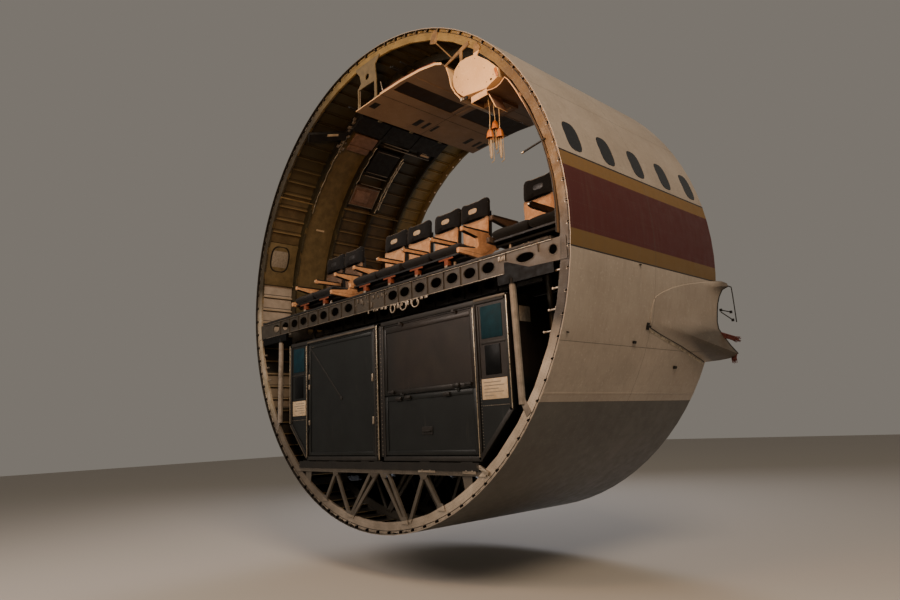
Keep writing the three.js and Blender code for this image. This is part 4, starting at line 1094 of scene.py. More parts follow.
def container_faces():
    """Blank teal panels, windows and placards on the containers' fronts, and their rivets."""
    for name, finish, x0, x1, z0, z1, near, bevel in (
            ("container_teal_panels", "teal", 1.70, 1.965, -0.945, -0.64, 0.016, 0.001),
            ("container_windows", "dark_pane", 1.735, 1.925, -1.282, -1.01, 0.013, 0.002),
            ("container_placards", "placard", 1.672, 1.99, -1.505, -1.318, 0.0175, 0.0005)):
        made_of(name, finish, block,
                [((hold_x(each, x0), near, z0), (hold_x(each, x1), 0.0196, z1))
                 for each in CONTAINERS], bevel=bevel)
    # x, z, near and far depth, radius
    rows = [(1.66 + 0.335 * k / 21, -1.965 + 0.349 * k / 21, 0.0165, 0.0198, 0.0045)
            for k in range(22)]
    rows += [(1.68 + 0.024 * k, -1.56, 0.0165, 0.0198, 0.0045) for k in range(14)]
    rows += [(0.152, -0.6 - 0.0448 * k, 0.0045, 0.0085, 0.0045) for k in range(32)]
    rows += [(1.655, -1.34 - 0.027 * k, 0.0165, 0.0198, 0.0035) for k in range(24)]
    made_of("container_rivets", "metal", pin,
            [(hold_x(each, x), z, near, far, radius, 6)
             for each in CONTAINERS for x, z, near, far, radius in rows])
    made_of("placard_bars", "strap", block,
            [((hold_x(each, 1.7), 0.0168, -1.355 - 0.03 * k),
              (hold_x(each, 1.7 + wide), 0.0176, -1.346 - 0.03 * k))
             for each in CONTAINERS for k, wide in enumerate((0.21, 0.25, 0.18, 0.24, 0.12))])


def door_trims():
    """The right container's folding leaves: edge extrusions, fold latches and a pull handle. The
    left one's single leaf has an edge frame, a strap and clasps."""
    for name, body, x0, x1, z0, z1, wide in (
            ("upper_leaf_edges", "upper_leaf", 0.203, 1.597, -1.372, -0.655, 0.045),
            ("lower_leaf_edges", "lower_leaf", 0.203, 1.597, -1.997, -1.392, 0.045),
            ("left_door_edges", "left_door", -1.368, 0.006, -1.997, -0.632, 0.04)):
        sides = [((x, 0.0115, z0), (x + wide, LEAF_FACE, z1)) for x in (x0, x1 - wide)]
        ends = [((x0 + wide, 0.0125, z), (x1 - wide, LEAF_FACE, z + wide))
                for z in (z1 - wide, z0)]
        made_of(name, "container", block, sides + ends, body, bevel=0.003)
    for name, body, spots in (
            ("upper_leaf_latches", "upper_leaf", ((0.33, -1.345), (1.335, -1.345), (1.5, -1.345))),
            ("lower_leaf_latches", "lower_leaf", ((0.45, -1.42), (1.2, -1.42), (0.6, -1.415)))):
        bm = bmesh.new()
        for x, z in spots:
            block(bm, (x - 0.045, -0.006, z - 0.02), (x + 0.045, 0.0125, z + 0.02))
            block(bm, (x - 0.03, -0.014, z - 0.008), (x + 0.05, -0.006, z + 0.008))
            pin(bm, x - 0.03, z, -0.012, 0.012, 0.012)
        piece(name, bm, "dark", body, bevel=0.002)
    bm = bmesh.new()
    block(bm, (0.80, 0.012, -1.80), (0.96, LEAF_FACE, -1.72))
    fronts = [f for f in bm.faces if f.normal.y < -0.9]
    bmesh.ops.inset_region(bm, faces=fronts, thickness=0.01, depth=0.0)
    bar(bm, (0.82, 0.004, -1.765), (0.94, 0.004, -1.765), 0.007, 10)
    for x in (0.82, 0.94):
        pin(bm, x, -1.765, 0.004, 0.014, 0.006, 8)
    piece("lower_leaf_handle", bm, "dark", "lower_leaf", bevel=0.0015)
    bm = bmesh.new()
    strip(bm, (-1.335, -0.67), (-0.655, -1.337), 0.022, 0.0165, POST_BACK)
    block(bm, (-0.672, 0.013, -1.36), (-0.63, LEAF_FACE, -1.32))
    piece("left_door_strap", bm, "post", "left_door", bevel=0.001)
    bm = bmesh.new()
    for z in (-1.03, -1.16, -1.6):
        block(bm, (-1.366, 0.002, z - 0.03), (-1.34, 0.0125, z + 0.03))
    for z in (-1.15, -1.62):
        block(bm, (-0.022, 0.0, z - 0.045), (0.004, 0.0125, z + 0.04))
        pin(bm, -0.01, z - 0.03, -0.004, 0.004, 0.01)
    piece("left_door_clasps", bm, "metal", "left_door", bevel=0.0015)


def gusset(bm, x, wide_end, narrow_end):
    """A plate on the near truss that narrows from one height to another."""
    plate = [(x - 0.06, wide_end), (x + 0.06, wide_end), (x + 0.035, narrow_end),
             (x - 0.035, narrow_end)]
    prism(bm, plate, "Y", 0.0135, 0.0168)


def hold_trims():
    """Rollers in the hold's tracks, gussets and rivets on its truss, blocks on its sill, and
    rails along the side wall."""
    rollers, cups = bmesh.new(), bmesh.new()
    for x in (-1.43, -0.83, 0.83, 1.43):
        for y in (1.7, 2.05, 2.4):
            bar(rollers, (x - 0.04, y, -2.05), (x + 0.04, y, -2.05), 0.019, 12)
            for end in (x - 0.052, x + 0.044):
                block(cups, (end, y - 0.025, -2.0603), (end + 0.008, y + 0.025, -2.043))
    piece("hold_rollers", rollers, "bright", bevel=0.001)
    piece("hold_roller_cups", cups, "metal", bevel=0.001)
    made_of("truss_rivets", "frame", pin,
            [(-1.5 + 0.04 * k, -2.168, y - 0.0195, y - 0.017, 0.0045, 6)
             for y in RING_Y[:2] for k in range(76)])
    gussets = [(x, -2.192, -2.235) for x in (-0.79, -0.04, 0.14, 0.79)]
    for x in (-1.02, -0.52, 0.47, 1.03):
        z = -math.sqrt(RING_IN ** 2 - x * x)
        gussets.append((x, z - 0.03, z + 0.04))
    made_of("truss_gussets", "frame", gusset, gussets, bevel=0.001)
    bm = bmesh.new()
    block(bm, (0.723, 0.004, -2.167), (0.985, 0.03, -2.127))
    block(bm, (1.367, 0.004, -2.172), (1.547, 0.03, -2.122))
    for x in (0.79, 0.91, 1.42, 1.5):
        pin(bm, x, -2.147, 0.0, 0.005, 0.01, 8)
    strip(bm, (1.555, -2.09), (1.7, -2.166), 0.034, 0.002, 0.03)
    piece("hold_sill_blocks", bm, "metal", bevel=0.002)
    made_of("hold_liner_rails", "metal", turned_block,
            [((-0.016, 0.045, -0.012), (-0.007, 2.63, 0.012), angle, 2.69)
             for angle in (-12, -17, -22, -27)], bevel=0.002)
    made_of("container_side_placard", "strap", block,
            [((2.0502, 0.17, -0.81), (2.0522, 0.325, -0.665))], bevel=0.0005, slot="white_placard")


# The ceiling, its service channel and the crown
CEILING = [(-0.214, 2.135), (0.279, 2.15), (0.657, 2.147), (1.008, 2.122), (1.254, 2.077),
           (1.352, 2.034)]


def under(x):
    """How high the ceiling panel's underside is."""
    for (xa, za), (xb, zb) in zip(CEILING, CEILING[1:]):
        if xa <= x <= xb:
            return za + (zb - za) * (x - xa) / (xb - xa)
    return CEILING[-1][1]


def follow(bm, xs, low, high, y0, y1):
    """A layer that follows the ceiling's underside between two heights above it."""
    rising = [(x, under(x) + low) for x in xs]
    prism(bm, rising + [(x, under(x) + high) for x in reversed(xs)], "Y", y0, y1)


def ceiling_trims():
    """Joints and slots in the ceiling panels, dark sheets of painted shade in their lamp troughs,
    and the cut near edge, a cream skin with the honeycomb's red-brown bond above it."""
    slots = [((-0.062, 0.112), -0.0016, 0.0004, y0, y1) for y0, y1 in (
        (0.763, 0.842), (0.915, 0.962), (1.062, 1.105), (1.678, 1.742), (1.85, 1.897),
        (1.945, 2.012))]
    slots.append(((-0.02, 0.11), -0.0016, 0.0004, 0.05, 0.138))
    joints = [(xs, -0.0012, 0.0014, y0, y1) for xs, y0, y1 in (
        ((0.2895, 0.2955), 0.004, 2.038), ((-0.205, 0.28, 0.48), 1.038, 1.043),
        ((1.032, 1.038), 1.1, 2.03))]
    made_of("ceiling_slots", "dark", follow, slots + joints)
    # The troughs' dark sheets are painted shade
    made_of("light_trough", "trough", follow,
            [((0.47, 0.657, far), -0.001, 0.003, y0, y1)
             for y0, y1, far in ((0.05, 0.97, 0.72), (1.13, 2.034, 0.85))])
    long_lips = [((x - 0.005, x + 0.005), -0.006, 0.001, 0.045, 2.038) for x in (0.463, 0.867)]
    end_lips = [((0.468, 0.657, 0.862), -0.004, 0.001, y0, y1)
                for y0, y1 in ((0.97, 1.036), (1.045, 1.13))]
    made_of("light_trough_lips", "ceiling", follow, long_lips + end_lips, bevel=0.0015)
    made_of("ceiling_edge_trim", "cream", follow,
            (((-0.214, 0.279), -0.001, 0.009, -0.003, 0.0019),
             ((0.279, 0.657, 1.008, 1.254, 1.352), -0.001, 0.026, -0.003, 0.0019),
             ((0.3, 0.657, 1.008, 1.254, 1.34), 0.0143, 0.026, 0.0019, 0.02)), bevel=0.0008)
    made_of("ceiling_edge_bond", "frayed", follow,
            [((0.31, 0.657, 1.008, 1.25), 0.0262, 0.042, 0.001, 0.016)], bevel=0.002)


def crown_fittings():
    """Cable runs over the ceiling with their hangers, two links and a plate at the near ring,
    and a rod with a bright tip on the right wall."""
    bm = bmesh.new()
    for k, (x, z, radius) in enumerate(((-0.42, 2.30, 0.012), (-0.46, 2.315, 0.009),
                                        (0.42, 2.46, 0.014), (0.47, 2.45, 0.009),
                                        (0.62, 2.44, 0.011))):
        cable(bm, [(x + 0.01 * math.sin(2.2 * n + k), 0.05 + 0.26 * n, z - 0.012 * (n % 2))
                   for n in range(8)], radius)
    piece("crown_cables", bm, "dark")
    bm = bmesh.new()
    for y in RING_Y[1:4]:
        for x, low, top in ((-0.44, 2.29, 2.668), (0.45, 2.43, 2.655), (0.62, 2.43, 2.62)):
            block(bm, (x - 0.012, y + 0.004, low), (x + 0.012, y + 0.007, top))
            block(bm, (x - 0.05, y - 0.02, low - 0.012), (x + 0.05, y + 0.03, low))
    piece("crown_cable_hangers", bm, "primer", bevel=0.0008)
    made_of("crown_links", "metal", strip,
            (((-0.21, 2.155), (-0.2, 2.40), 0.01, 0.03, 0.036),
             ((-0.17, 2.155), (-0.16, 2.40), 0.01, 0.03, 0.036),
             ((0.30, 2.167), (0.252, 2.347), 0.012, 0.03, 0.037)), bevel=0.001)
    made_of("side_rod", "dark", bar, [((2.347, 0.022, 0.689), (2.612, 0.022, 0.727), 0.009)])
    made_of("side_rod_tip", "bright", bar,
            [((2.336, 0.022, 0.6875), (2.362, 0.022, 0.691), 0.0105)], bevel=0.002)


# The bin, the service unit and its lid
def bin_trims():
    """A cream end cap with its screws, the orange edge seal, the rail below and dark fittings."""
    section = [(1.833, 1.925), (1.7, 1.948), (1.603, 1.94), (1.535, 1.89), (1.5, 1.8),
               (1.508, 1.715), (1.558, 1.625), (1.64, 1.548), (1.954, 1.5), (2.12, 1.555),
               (2.125, 1.64), (2.0, 1.78)]
    made_of("bin_end_cap", "cream", prism, [(section, "Y", 0.0112, 0.0137)], bevel=0.001)
    made_of("bin_edge_seal", "mask", strip, [((2.094, 1.655), (2.114, 1.56), 0.03, 0.004, 0.0125)],
            bevel=0.002)
    made_of("bin_screws", "post", pin,
            [(x, z, 0.0085, 0.0125, 0.005, 8) for x, z in (
                (1.6, 1.9), (1.72, 1.7), (1.56, 1.8), (1.63, 1.6), (1.97, 1.56), (2.06, 1.6),
                (1.83, 1.88), (1.95, 1.72))])
    bm = bmesh.new()
    block(bm, (1.585, 0.016, 1.515), (1.64, 0.518, 1.542))
    pin(bm, 1.612, 1.53, 0.005, 0.016, 0.02, 12)
    piece("bin_lower_rail", bm, "metal", bevel=0.004)
    bm = bmesh.new()
    block(bm, (1.66, 0.004, 1.502), (1.70, 0.02, 1.53))
    pin(bm, 2.03, 1.562, 0.006, 0.013, 0.012)
    piece("bin_dark_fittings", bm, "dark", bevel=0.002)


def service_trims():
    """Reading lamps, a switch plate and the mask compartment's rim under the service unit, and
    pale edges round its hanging lid."""
    made_of("reading_lamps", "dark", bar,
            [((x, 0.28, 1.427), (x, 0.28, 1.4335), 0.018, 16) for x in (1.81, 1.89)],
            bevel=0.0012)
    made_of("switch_plate", "ceiling", block, [((1.77, 0.39, 1.4295), (1.93, 0.45, 1.4325))],
            bevel=0.0012)
    made_of("unit_edge_trim", "cream", block,
            (((1.742, 0.016, 1.432), (1.958, 0.0198, 1.438)),
             ((1.7405, 0.022, 1.428), (1.7465, 0.2, 1.4325))), bevel=0.0008)
    hinge = Vector((1.972, 0, 1.44))
    along = Vector((math.sin(math.radians(25)), 0, -math.cos(math.radians(25))))
    near, far = hinge + along * 0.012, hinge + along * 0.19
    bm = bmesh.new()
    strip(bm, (near.x, near.z), (far.x, far.z), 0.009, 0.0265, 0.0305)
    bar(bm, (far.x, 0.0265, far.z), (far.x, 0.2, far.z), 0.0035, 8)
    piece("mask_lid_edges", bm, "cream", "lid", bevel=0.0008)


def mask_bags():
    """Under each mask a slack clear bag hangs, flattened and creased, with a pull cord."""
    draw = random.Random(7)
    for number, (x, y, z, _) in enumerate(MASK_HOSES, 1):
        bm = bmesh.new()
        bmesh.ops.create_uvsphere(bm, u_segments=16, v_segments=14, radius=1.0)
        for v in bm.verts:
            u = v.co.z
            full = (1 - u * u) ** 0.3 if abs(u) < 1 else 0
            fold = 1 + 0.14 * math.sin(5 * math.atan2(v.co.y, v.co.x) + 3 * u)
            flat = Vector((v.co.x, v.co.y)).normalized() if abs(u) < 0.999 else Vector((0, 0))
            v.co = Vector((flat.x * 0.015 * full * fold + draw.uniform(-0.001, 0.001),
                           flat.y * 0.008 * full * fold, u * 0.105))
        rim = z - MASK_HIGH
        bmesh.ops.translate(bm, vec=(x, y, rim - 0.108), verts=bm.verts)
        for side, low in ((-0.03, 0.2), (0.034, 0.24)):
            cable(bm, [(x + side, y, rim + 0.006), (x + side * 0.7, y + 0.01, rim - low),
                       (x - side * 0.1, y, rim - 0.018 - low)], 0.0035, 7)
        piece(f"mask_bag_{number}", bm, "bag")


# The side walls
def wall_trims():
    """On the left wall: blank labels, lamp lenses, the trays' edges, rails round the duct and
    the blanket, gold cross bars and quilted blankets."""
    made_of("wall_labels", "placard", turned_block,
            (((-0.0013, 0.79, -0.013), (0.0, 0.93, 0.013), 151.3, 2.7755),
             ((-0.002, 1.83, -0.016), (0.0, 1.99, 0.016), 115.3, 2.6275)))
    made_of("lamp_lenses", "lamp", turned_block,
            (((-0.0055, 0.26, -0.018), (0.0, 0.415, 0.018), 118.35, 2.6348, -22.9),
             ((-0.0055, 1.84, -0.018), (0.0, 1.93, 0.018), 114.2, 2.628)), bevel=0.002)
    edges = []
    for y0, y1 in ((0.545, 1.035), (1.05, 1.575), (1.59, 2.1)):
        for side, wide in ((-0.139, 0.004), (0.137, 0.007)):
            edges.append(((-0.073, y0 + 0.004, side), (-0.0685, y1 - 0.004, side + wide)))
        for y in (y0 + 0.006, y1 - 0.012):
            edges.append(((-0.073, y, -0.13), (-0.0685, y + 0.005, 0.13)))
    made_of("tray_edges", "post", turned_block, [(*edge, 111.2, 2.6895) for edge in edges],
            bevel=0.0006)
    rails = [((-0.004, y0, -0.006), (0.004, y1, 0.006), turn, radius) for turn, radius, y0, y1 in (
        (117.0, 2.668, 1.2, 2.07), (115.9, 2.668, 1.18, 1.63), (129.2, 2.69, 1.2, 1.6),
        (132.4, 2.69, 1.2, 1.6))]
    rails += [((-0.005, y, -0.165), (0.003, y + 0.014, 0.165), 136.9, 2.715)
              for y in (1.152, 1.588)]
    rails += [((-0.005, 1.152, -0.005), (0.003, 1.6, 0.005), turn, 2.712)
              for turn in (133.7, 140.2)]
    rails += [((-0.006, 1.19, -0.004), (0.0, 1.59, 0.004), turn, 2.6945)
              for turn in (127.9, 119.8)]
    made_of("wall_frame_rails", "metal", turned_block, rails, bevel=0.001)
    made_of("wall_cross_bars", "trim_gold", turned_block,
            [((-0.005, y0, -0.008), (0.0, y1, 0.008), turn, 2.6965) for turn, y0, y1 in (
                (143.1, 0.035, 0.562), (142.1, 1.103, 1.628), (142.2, 1.636, 2.16))],
            bevel=0.0012)
    made_of("quilt_patch", "quilt", turned_block,
            [((-0.012, 1.2, -0.096), (0.0, 1.46, 0.096), 136.9, 2.709)], bevel=0.01, segments=3)
    made_of("wall_blankets", "blanket", turned_block,
            (((0.0, 0.69, -0.095), (0.022, 1.08, 0.105), 118.1, 2.69),
             ((0.0, 0.69, -0.05), (0.022, 1.05, 0.05), 121.5, 2.69)), bevel=0.008, segments=3)


def wall_wires():
    """Foil-wrapped wires that run round the barrel beside the rings, the loose fittings among
    them, and bolts on the far ring, near white as painted glints."""
    draw = random.Random(23)
    bm = bmesh.new()
    for radius, y, first, last in ((2.69, 1.66, 119.7, 141.3), (2.683, 1.69, 120.5, 140.0),
                                   (2.688, 0.595, 119.0, 146.0), (2.684, 1.125, 118.5, 133.0)):
        spots = []
        for k in range(19):
            turn = math.radians(first + (last - first) * k / 18)
            far = radius + draw.uniform(-0.006, 0.004)
            spots.append((far * math.cos(turn), y + draw.uniform(-0.008, 0.008),
                          far * math.sin(turn)))
        cable(bm, spots, 0.0085 if y > 1.6 else 0.0055, 7)
    piece("wall_wires", bm, "bright")
    bm = bmesh.new()
    for _ in range(26):
        turn, y = draw.uniform(109.0, 124.0), draw.uniform(0.5, 0.62)
        size = draw.uniform(0.008, 0.02)
        turned_block(bm, (-size, y - size, -size), (0.0, y + size, size * 1.6), turn, 2.688)
    for _ in range(14):
        turn = draw.uniform(122.0, 143.0)
        turned_block(bm, (-0.012, 1.645, -0.014), (0.0, 1.7, 0.014), turn, 2.69)
    piece("wall_ring_fittings", bm, "metal", bevel=0.002)
    # Near-white bolt heads on the far ring: painted glints
    made_of("far_ring_glinting_bolts", "bolt", turned_block,
            [((-0.014, 2.584, -0.013), (0.0, 2.61, 0.013), 112.8 + 3.9 * k, 2.6965)
             for k in range(7)], bevel=0.006)


# The fairing and the outside
FAIRING_EDGE = [(2.932, -0.367), (2.861, -0.393), (2.819, -0.459), (2.793, -0.532), (2.774, -0.63),
                (2.76, -0.74), (2.767, -0.818), (2.816, -0.913), (2.879, -1.019), (2.943, -1.108)]
# The lower flange's way along the skin: how far back, and the angle round the barrel
FAIRING_FLANGE = [(1.353, -18.1), (1.6, -19.3), (1.8, -20.15), (2.003, -21.0), (2.2, -21.95),
                  (2.4, -23.0), (2.618, -24.1)]


def fairing_trims():
    """The torn fairing's rubber edge seal, and its inner frame and brackets."""
    seal = bmesh.new()
    cable(seal, [(x, 2.653, z) for x, z in FAIRING_EDGE], 0.0075)
    piece("fairing_edge_seal", seal, "dark", slot="black_rubber")
    bm = bmesh.new()
    wire = [(2.932, -0.367), (2.964, -0.386), (2.968, -0.475), (2.971, -0.619), (2.973, -0.772)]
    brackets = [[(2.821, -0.616), (2.927, -0.655)], [(2.818, -0.637), (2.937, -0.744)]]
    for line in [wire] + brackets:
        cable(bm, [(x, 2.648, z) for x, z in line], 0.006)
    for x, z in ((2.821, -0.616), (2.937, -0.744), (2.927, -0.655)):
        block(bm, (x - 0.012, 2.636, z - 0.014), (x + 0.012, 2.656, z + 0.014))
    piece("fairing_inner_frame", bm, "dark")


def fairing_flange():
    """The bright strip along the fairing's lower flange, with its dark edge."""
    flange, edge = bmesh.new(), bmesh.new()
    for ends in zip(FAIRING_FLANGE, FAIRING_FLANGE[1:]):
        for bm, wide, high, shift in ((flange, 0.024, 0.0012, 0.6), (edge, 0.007, 0.0022, 0.12)):
            a, b = [Vector(((SKIN_R + high) * math.cos(math.radians(turn - shift)), y,
                            (SKIN_R + high) * math.sin(math.radians(turn - shift))))
                    for y, turn in ends]
            made = block(bm, (-0.0012, 0, -wide / 2), (0.0012, (b - a).length + 0.004, wide / 2))
            out = Vector((a.x, 0, a.z)).normalized()
            along = (b - a).normalized()
            turned = Matrix((out, along, out.cross(along))).transposed().to_4x4()
            bmesh.ops.transform(bm, matrix=Matrix.Translation(a) @ turned, verts=made)
    piece("fairing_flange_strip", flange, "bright", bevel=0.0004)
    piece("fairing_flange_edge", edge, "dark", bevel=0.0004)


def frayed_ends():
    """Frayed cloth at the fairing's break, rooted on the torn edge."""
    draw = random.Random(11)
    bm = bmesh.new()
    # Each flap's root on the torn edge, from and to, and its tip
    flaps = [((2.79, -0.86), (2.822, -0.925), (2.965, -0.96)),
             ((2.87, -1.08), (2.935, -1.1), (2.895, -1.185))]
    for first, last, tip in flaps:
        for _ in range(34):
            share = draw.random()
            root = [first[k] + (last[k] - first[k]) * share for k in (0, 1)]
            end = (tip[0] + draw.uniform(-0.03, 0.03), 2.65 + draw.uniform(0, 0.015),
                   tip[1] + draw.uniform(-0.03, 0.03))
            bar(bm, (root[0], 2.646, root[1]), end, 0.0075, 5, 0.002)
    piece("fairing_frayed_ends", bm, "frayed")


def outside_fittings():
    """Small drain masts on the skin, and a lug beside the fairing."""
    made_of("drain_masts", "dark", turned_block,
            [((-0.001, y - 0.025 * size, -0.013 * size), (0.018, y + 0.025 * size, 0.013 * size),
              angle, SKIN_R - 0.001)
             for angle, y, size in ((-21.4, 1.125, 1.0), (-25.9, 2.015, 1.2), (-6.5, 1.075, 0.5),
                                    (-20.8, 0.08, 0.5))], bevel=0.006)
    bm = bmesh.new()
    made = block(bm, (-0.001, 1.285, -0.035), (0.006, 1.335, 0.035))
    made += bar(bm, (0.005, 1.29, 0.0), (0.024, 1.325, 0.0), 0.012, 10)
    at_angle(made, bm, -18.0, SKIN_R)
    piece("fairing_lug", bm, "dark", bevel=0.003)


# The seats
def seat_places():
    """Each seat's unit, its number from 1 and the x of its middle."""
    return [(name, k + 1, middle + (k + 0.5 - count / 2) * SEAT_PITCH)
            for name, middle, count in SEAT_UNITS for k in range(count)]


def lofted(rings):
    """A closed form through rings of points, with flat ends."""
    bm = bmesh.new()
    rows = [[bm.verts.new(spot) for spot in ring] for ring in rings]
    for a, b in zip(rows, rows[1:]):
        for k in range(len(a)):
            after = (k + 1) % len(a)
            bm.faces.new((a[k], a[after], b[after], b[k]))
    bm.faces.new(rows[0])
    bm.faces.new(rows[-1])
    bmesh.ops.recalc_face_normals(bm, faces=bm.faces)
    return bm


def stuffed(bm, voxel, cap):
    """Swells a closed form like a stuffed cover and gives its points and faces. Cloth blows up
    an evenly meshed copy, and no point moves further than the cap."""
    form = mesh_object("stuffing", bm)
    scene = bpy.context.scene
    remesh = form.modifiers.new("even_mesh", "REMESH")
    remesh.mode = "VOXEL"
    remesh.voxel_size = voxel
    state = bpy.context.evaluated_depsgraph_get()
    even = bpy.data.meshes.new_from_object(form.evaluated_get(state))
    form.modifiers.clear()
    form.data = even
    before = [v.co.copy() for v in even.vertices]
    after = before
    faces = [tuple(p.vertices) for p in even.polygons]
    cloth = form.modifiers.new("pressure", "CLOTH")
    cloth.settings.use_pressure = True
    cloth.settings.uniform_pressure_force = 4
    cloth.settings.effector_weights.gravity = 0
    for step in range(1, 21):
        scene.frame_set(step)
    swollen = form.evaluated_get(bpy.context.evaluated_depsgraph_get()).data
    after = [v.co.copy() for v in swollen.vertices]
    scene.frame_set(1)
    bpy.data.objects.remove(form)
    points = []
    for a, b in zip(before, after):
        move = b - a
        points.append(a + move * min(1.0, cap / max(move.length, 1e-9)))
    return points, faces


def sewn(points, lines):
    """Pulls a pad's cover in along sewn lines: each has an axis, a place on it, the half width
    of the channel, the way in, and how deep it goes."""
    for spot in points:
        for axis, place, half, way, deep in lines:
            off = (spot[axis] - place) / half
            spot[way[0]] += way[1] * deep * math.exp(-off * off)
    return points


def fitted(points, low, high):
    """Brings a stuffed form to the size that its cover has, between two corners."""
    least = [min(p[k] for p in points) for k in range(3)]
    most = [max(p[k] for p in points) for k in range(3)]
    return [Vector([low[k] + (p[k] - least[k]) * (high[k] - low[k]) / (most[k] - least[k])
                    for k in range(3)]) for p in points]


def soft_copies(name, forms, shifts, finish, body="root"):
    """One piece made of a stuffed form at each of some places along X."""
    bm = bmesh.new()
    points, faces = forms
    for shift in shifts:
        verts = [bm.verts.new((p.x + shift, p.y, p.z)) for p in points]
        for face in faces:
            bm.faces.new([verts[k] for k in face])
    made = piece(name, bm, finish, body)
    return made


def box_ring(z, half, front, back, power=5.0, sides=36):
    """A rounded rectangle at a height, from side to side and from front to back."""
    ring = []
    for k in range(sides):
        turn = math.tau * (k + 0.5) / sides
        c, s = math.cos(turn), math.sin(turn)
        pull = (abs(c) ** power + abs(s) ** power) ** (-1 / power)
        ring.append((half * c * pull, (front + back) / 2 + (back - front) / 2 * s * pull, z))
    return ring


def back_pad():
    """The tan lower back: hollowed a little at the waist, narrower towards the seat."""
    rows = ((0.262, 0.17, 0.955, 1.0), (0.268, 0.186, 0.948, 1.006), (0.30, 0.194, 0.944, 1.01),
            (0.38, 0.198, 0.95, 1.012), (0.47, 0.204, 0.96, 1.018), (0.56, 0.21, 0.968, 1.022),
            (0.625, 0.214, 0.974, 1.024), (0.646, 0.208, 0.98, 1.02), (0.652, 0.196, 0.986, 1.014))
    points, faces = stuffed(lofted([box_ring(*row) for row in rows]), 0.011, 0.022)
    points = fitted(points, (-0.216, 0.938, 0.26), (0.216, 1.024, 0.656))
    lines = [(0, side * 0.158, 0.007, (1, 1), 0.005) for side in (-1, 1)]
    lines += [(2, 0.618, 0.006, (1, 1), 0.004), (2, 0.43, 0.006, (1, 1), 0.003)]
    front = [p for p in points if p.y < 0.985]
    sewn(front, lines)
    return points, faces


def headrest_pad():
    """The charcoal headrest: thick, round at its top corners, a little forward of the back, and
    as wide as the seat on the side where it meets its neighbour's."""
    rows = ((0.664, 0.196, 0.978, 1.036), (0.67, 0.212, 0.972, 1.044), (0.70, 0.218, 0.97, 1.048),
            (0.76, 0.219, 0.975, 1.053), (0.82, 0.218, 0.982, 1.057), (0.855, 0.215, 0.988, 1.057),
            (0.874, 0.206, 0.994, 1.055), (0.888, 0.19, 1.0, 1.05), (0.894, 0.166, 1.008, 1.042))
    points, faces = stuffed(lofted([box_ring(*row) for row in rows]), 0.011, 0.02)
    points = fitted(points, (-0.236, 0.963, 0.66), (0.236, 1.06, 0.898))
    return sewn(points, [(2, 0.838, 0.006, (1, 1), 0.002)]), faces


def cushion_pad():
    """One seat's cushion: a rolled front edge and a crowned top, sewn along the roll."""
    turns = [math.radians(a) for a in range(-70, 91, 16)]
    roll = [(0.519 - 0.058 * math.cos(a), 0.196 + 0.058 * math.sin(a)) for a in turns]
    side = roll + [(0.62, 0.248), (0.72, 0.247), (0.82, 0.242), (0.872, 0.236), (0.888, 0.222),
                   (0.89, 0.15), (0.88, 0.14), (0.7, 0.138), (0.56, 0.138)]
    rings = []
    for x, share in ((-0.232, 0.84), (-0.229, 0.93), (-0.22, 0.98), (-0.2, 1.0), (0.0, 1.0),
                     (0.2, 1.0), (0.22, 0.98), (0.229, 0.93), (0.232, 0.84)):
        rings.append([(x, 0.67 + (y - 0.67) * (0.9 + 0.1 * share), 0.195 + (z - 0.195) * share)
                      for y, z in side])
    points, faces = stuffed(lofted(rings), 0.012, 0.024)
    points = fitted(points, (-0.2435, 0.455, 0.134), (0.2435, 0.893, 0.256))
    top = [p for p in points if p.z > 0.2]
    sewn(top, [(1, 0.565, 0.007, (2, -1), 0.006), (0, 0.0, 0.006, (2, -1), 0.002)])
    return points, faces


def cushions():
    """The seats' cushions, two to each piece as the solid model has them."""
    forms = cushion_pad()
    for name, middle, count in SEAT_UNITS:
        for k in range(0, count, 2):
            x = middle + (k + 1 - count / 2) * SEAT_PITCH
            number = k // 2 + 1
            pad = soft_copies(f"cushion_{name}_{number}", forms, (x - 0.246, x + 0.246), "cloth")
            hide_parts(f"seat_cushion_{name}_{number}")


def seat_backs():
    """Each back has a leather pad, a headrest, a moulded rear shell on its pins, and a blank
    oval tag and pale piping on the headrest, the piping a painted highlight."""
    leather, head = back_pad(), headrest_pad()
    for name, number, x in seat_places():
        body = f"back_{name}_{number}"
        pad = soft_copies(f"back_leather_{name}_{number}", leather, (x,), "leather", body)
        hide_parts(f"seat_back_{name}_{number}")
        middle = x + 0.0175 * (1 if number % 2 else -1)
        soft_copies(f"headrest_{name}_{number}", head, (middle,), "cloth", body)
        back_shell(name, number, x, body)
        headrest_trims(name, number, middle, body, head[0])


def back_shell(name, number, x, body):
    """The rear shell with its meal tray, pocket and recline pins."""
    bm = bmesh.new()
    profile = [(1.002, 0.252), (1.012, 0.4), (1.02, 0.6), (1.036, 0.66), (1.05, 0.7),
               (1.0655, 0.74), (1.064, 0.6), (1.05, 0.4), (1.03, 0.25)]
    prism(bm, profile, "X", x - 0.196, x + 0.196)
    tray = [(1.043, 0.42), (1.0535, 0.6), (1.0675, 0.6), (1.057, 0.42)]
    prism(bm, tray, "X", x - 0.17, x + 0.17)
    pocket = [(1.022, 0.27), (1.034, 0.395), (1.0495, 0.395), (1.041, 0.27)]
    prism(bm, pocket, "X", x - 0.18, x + 0.18)
    for side in (-1, 1):
        bar(bm, (x + side * 0.19, 0.985, 0.268), (x + side * 0.2275, 0.985, 0.268), 0.008, 10)
        block(bm, (x + side * 0.186, 0.975, 0.256), (x + side * 0.194, 1.012, 0.286))
    piece(f"back_shell_{name}_{number}", bm, "shell", body, bevel=0.003)


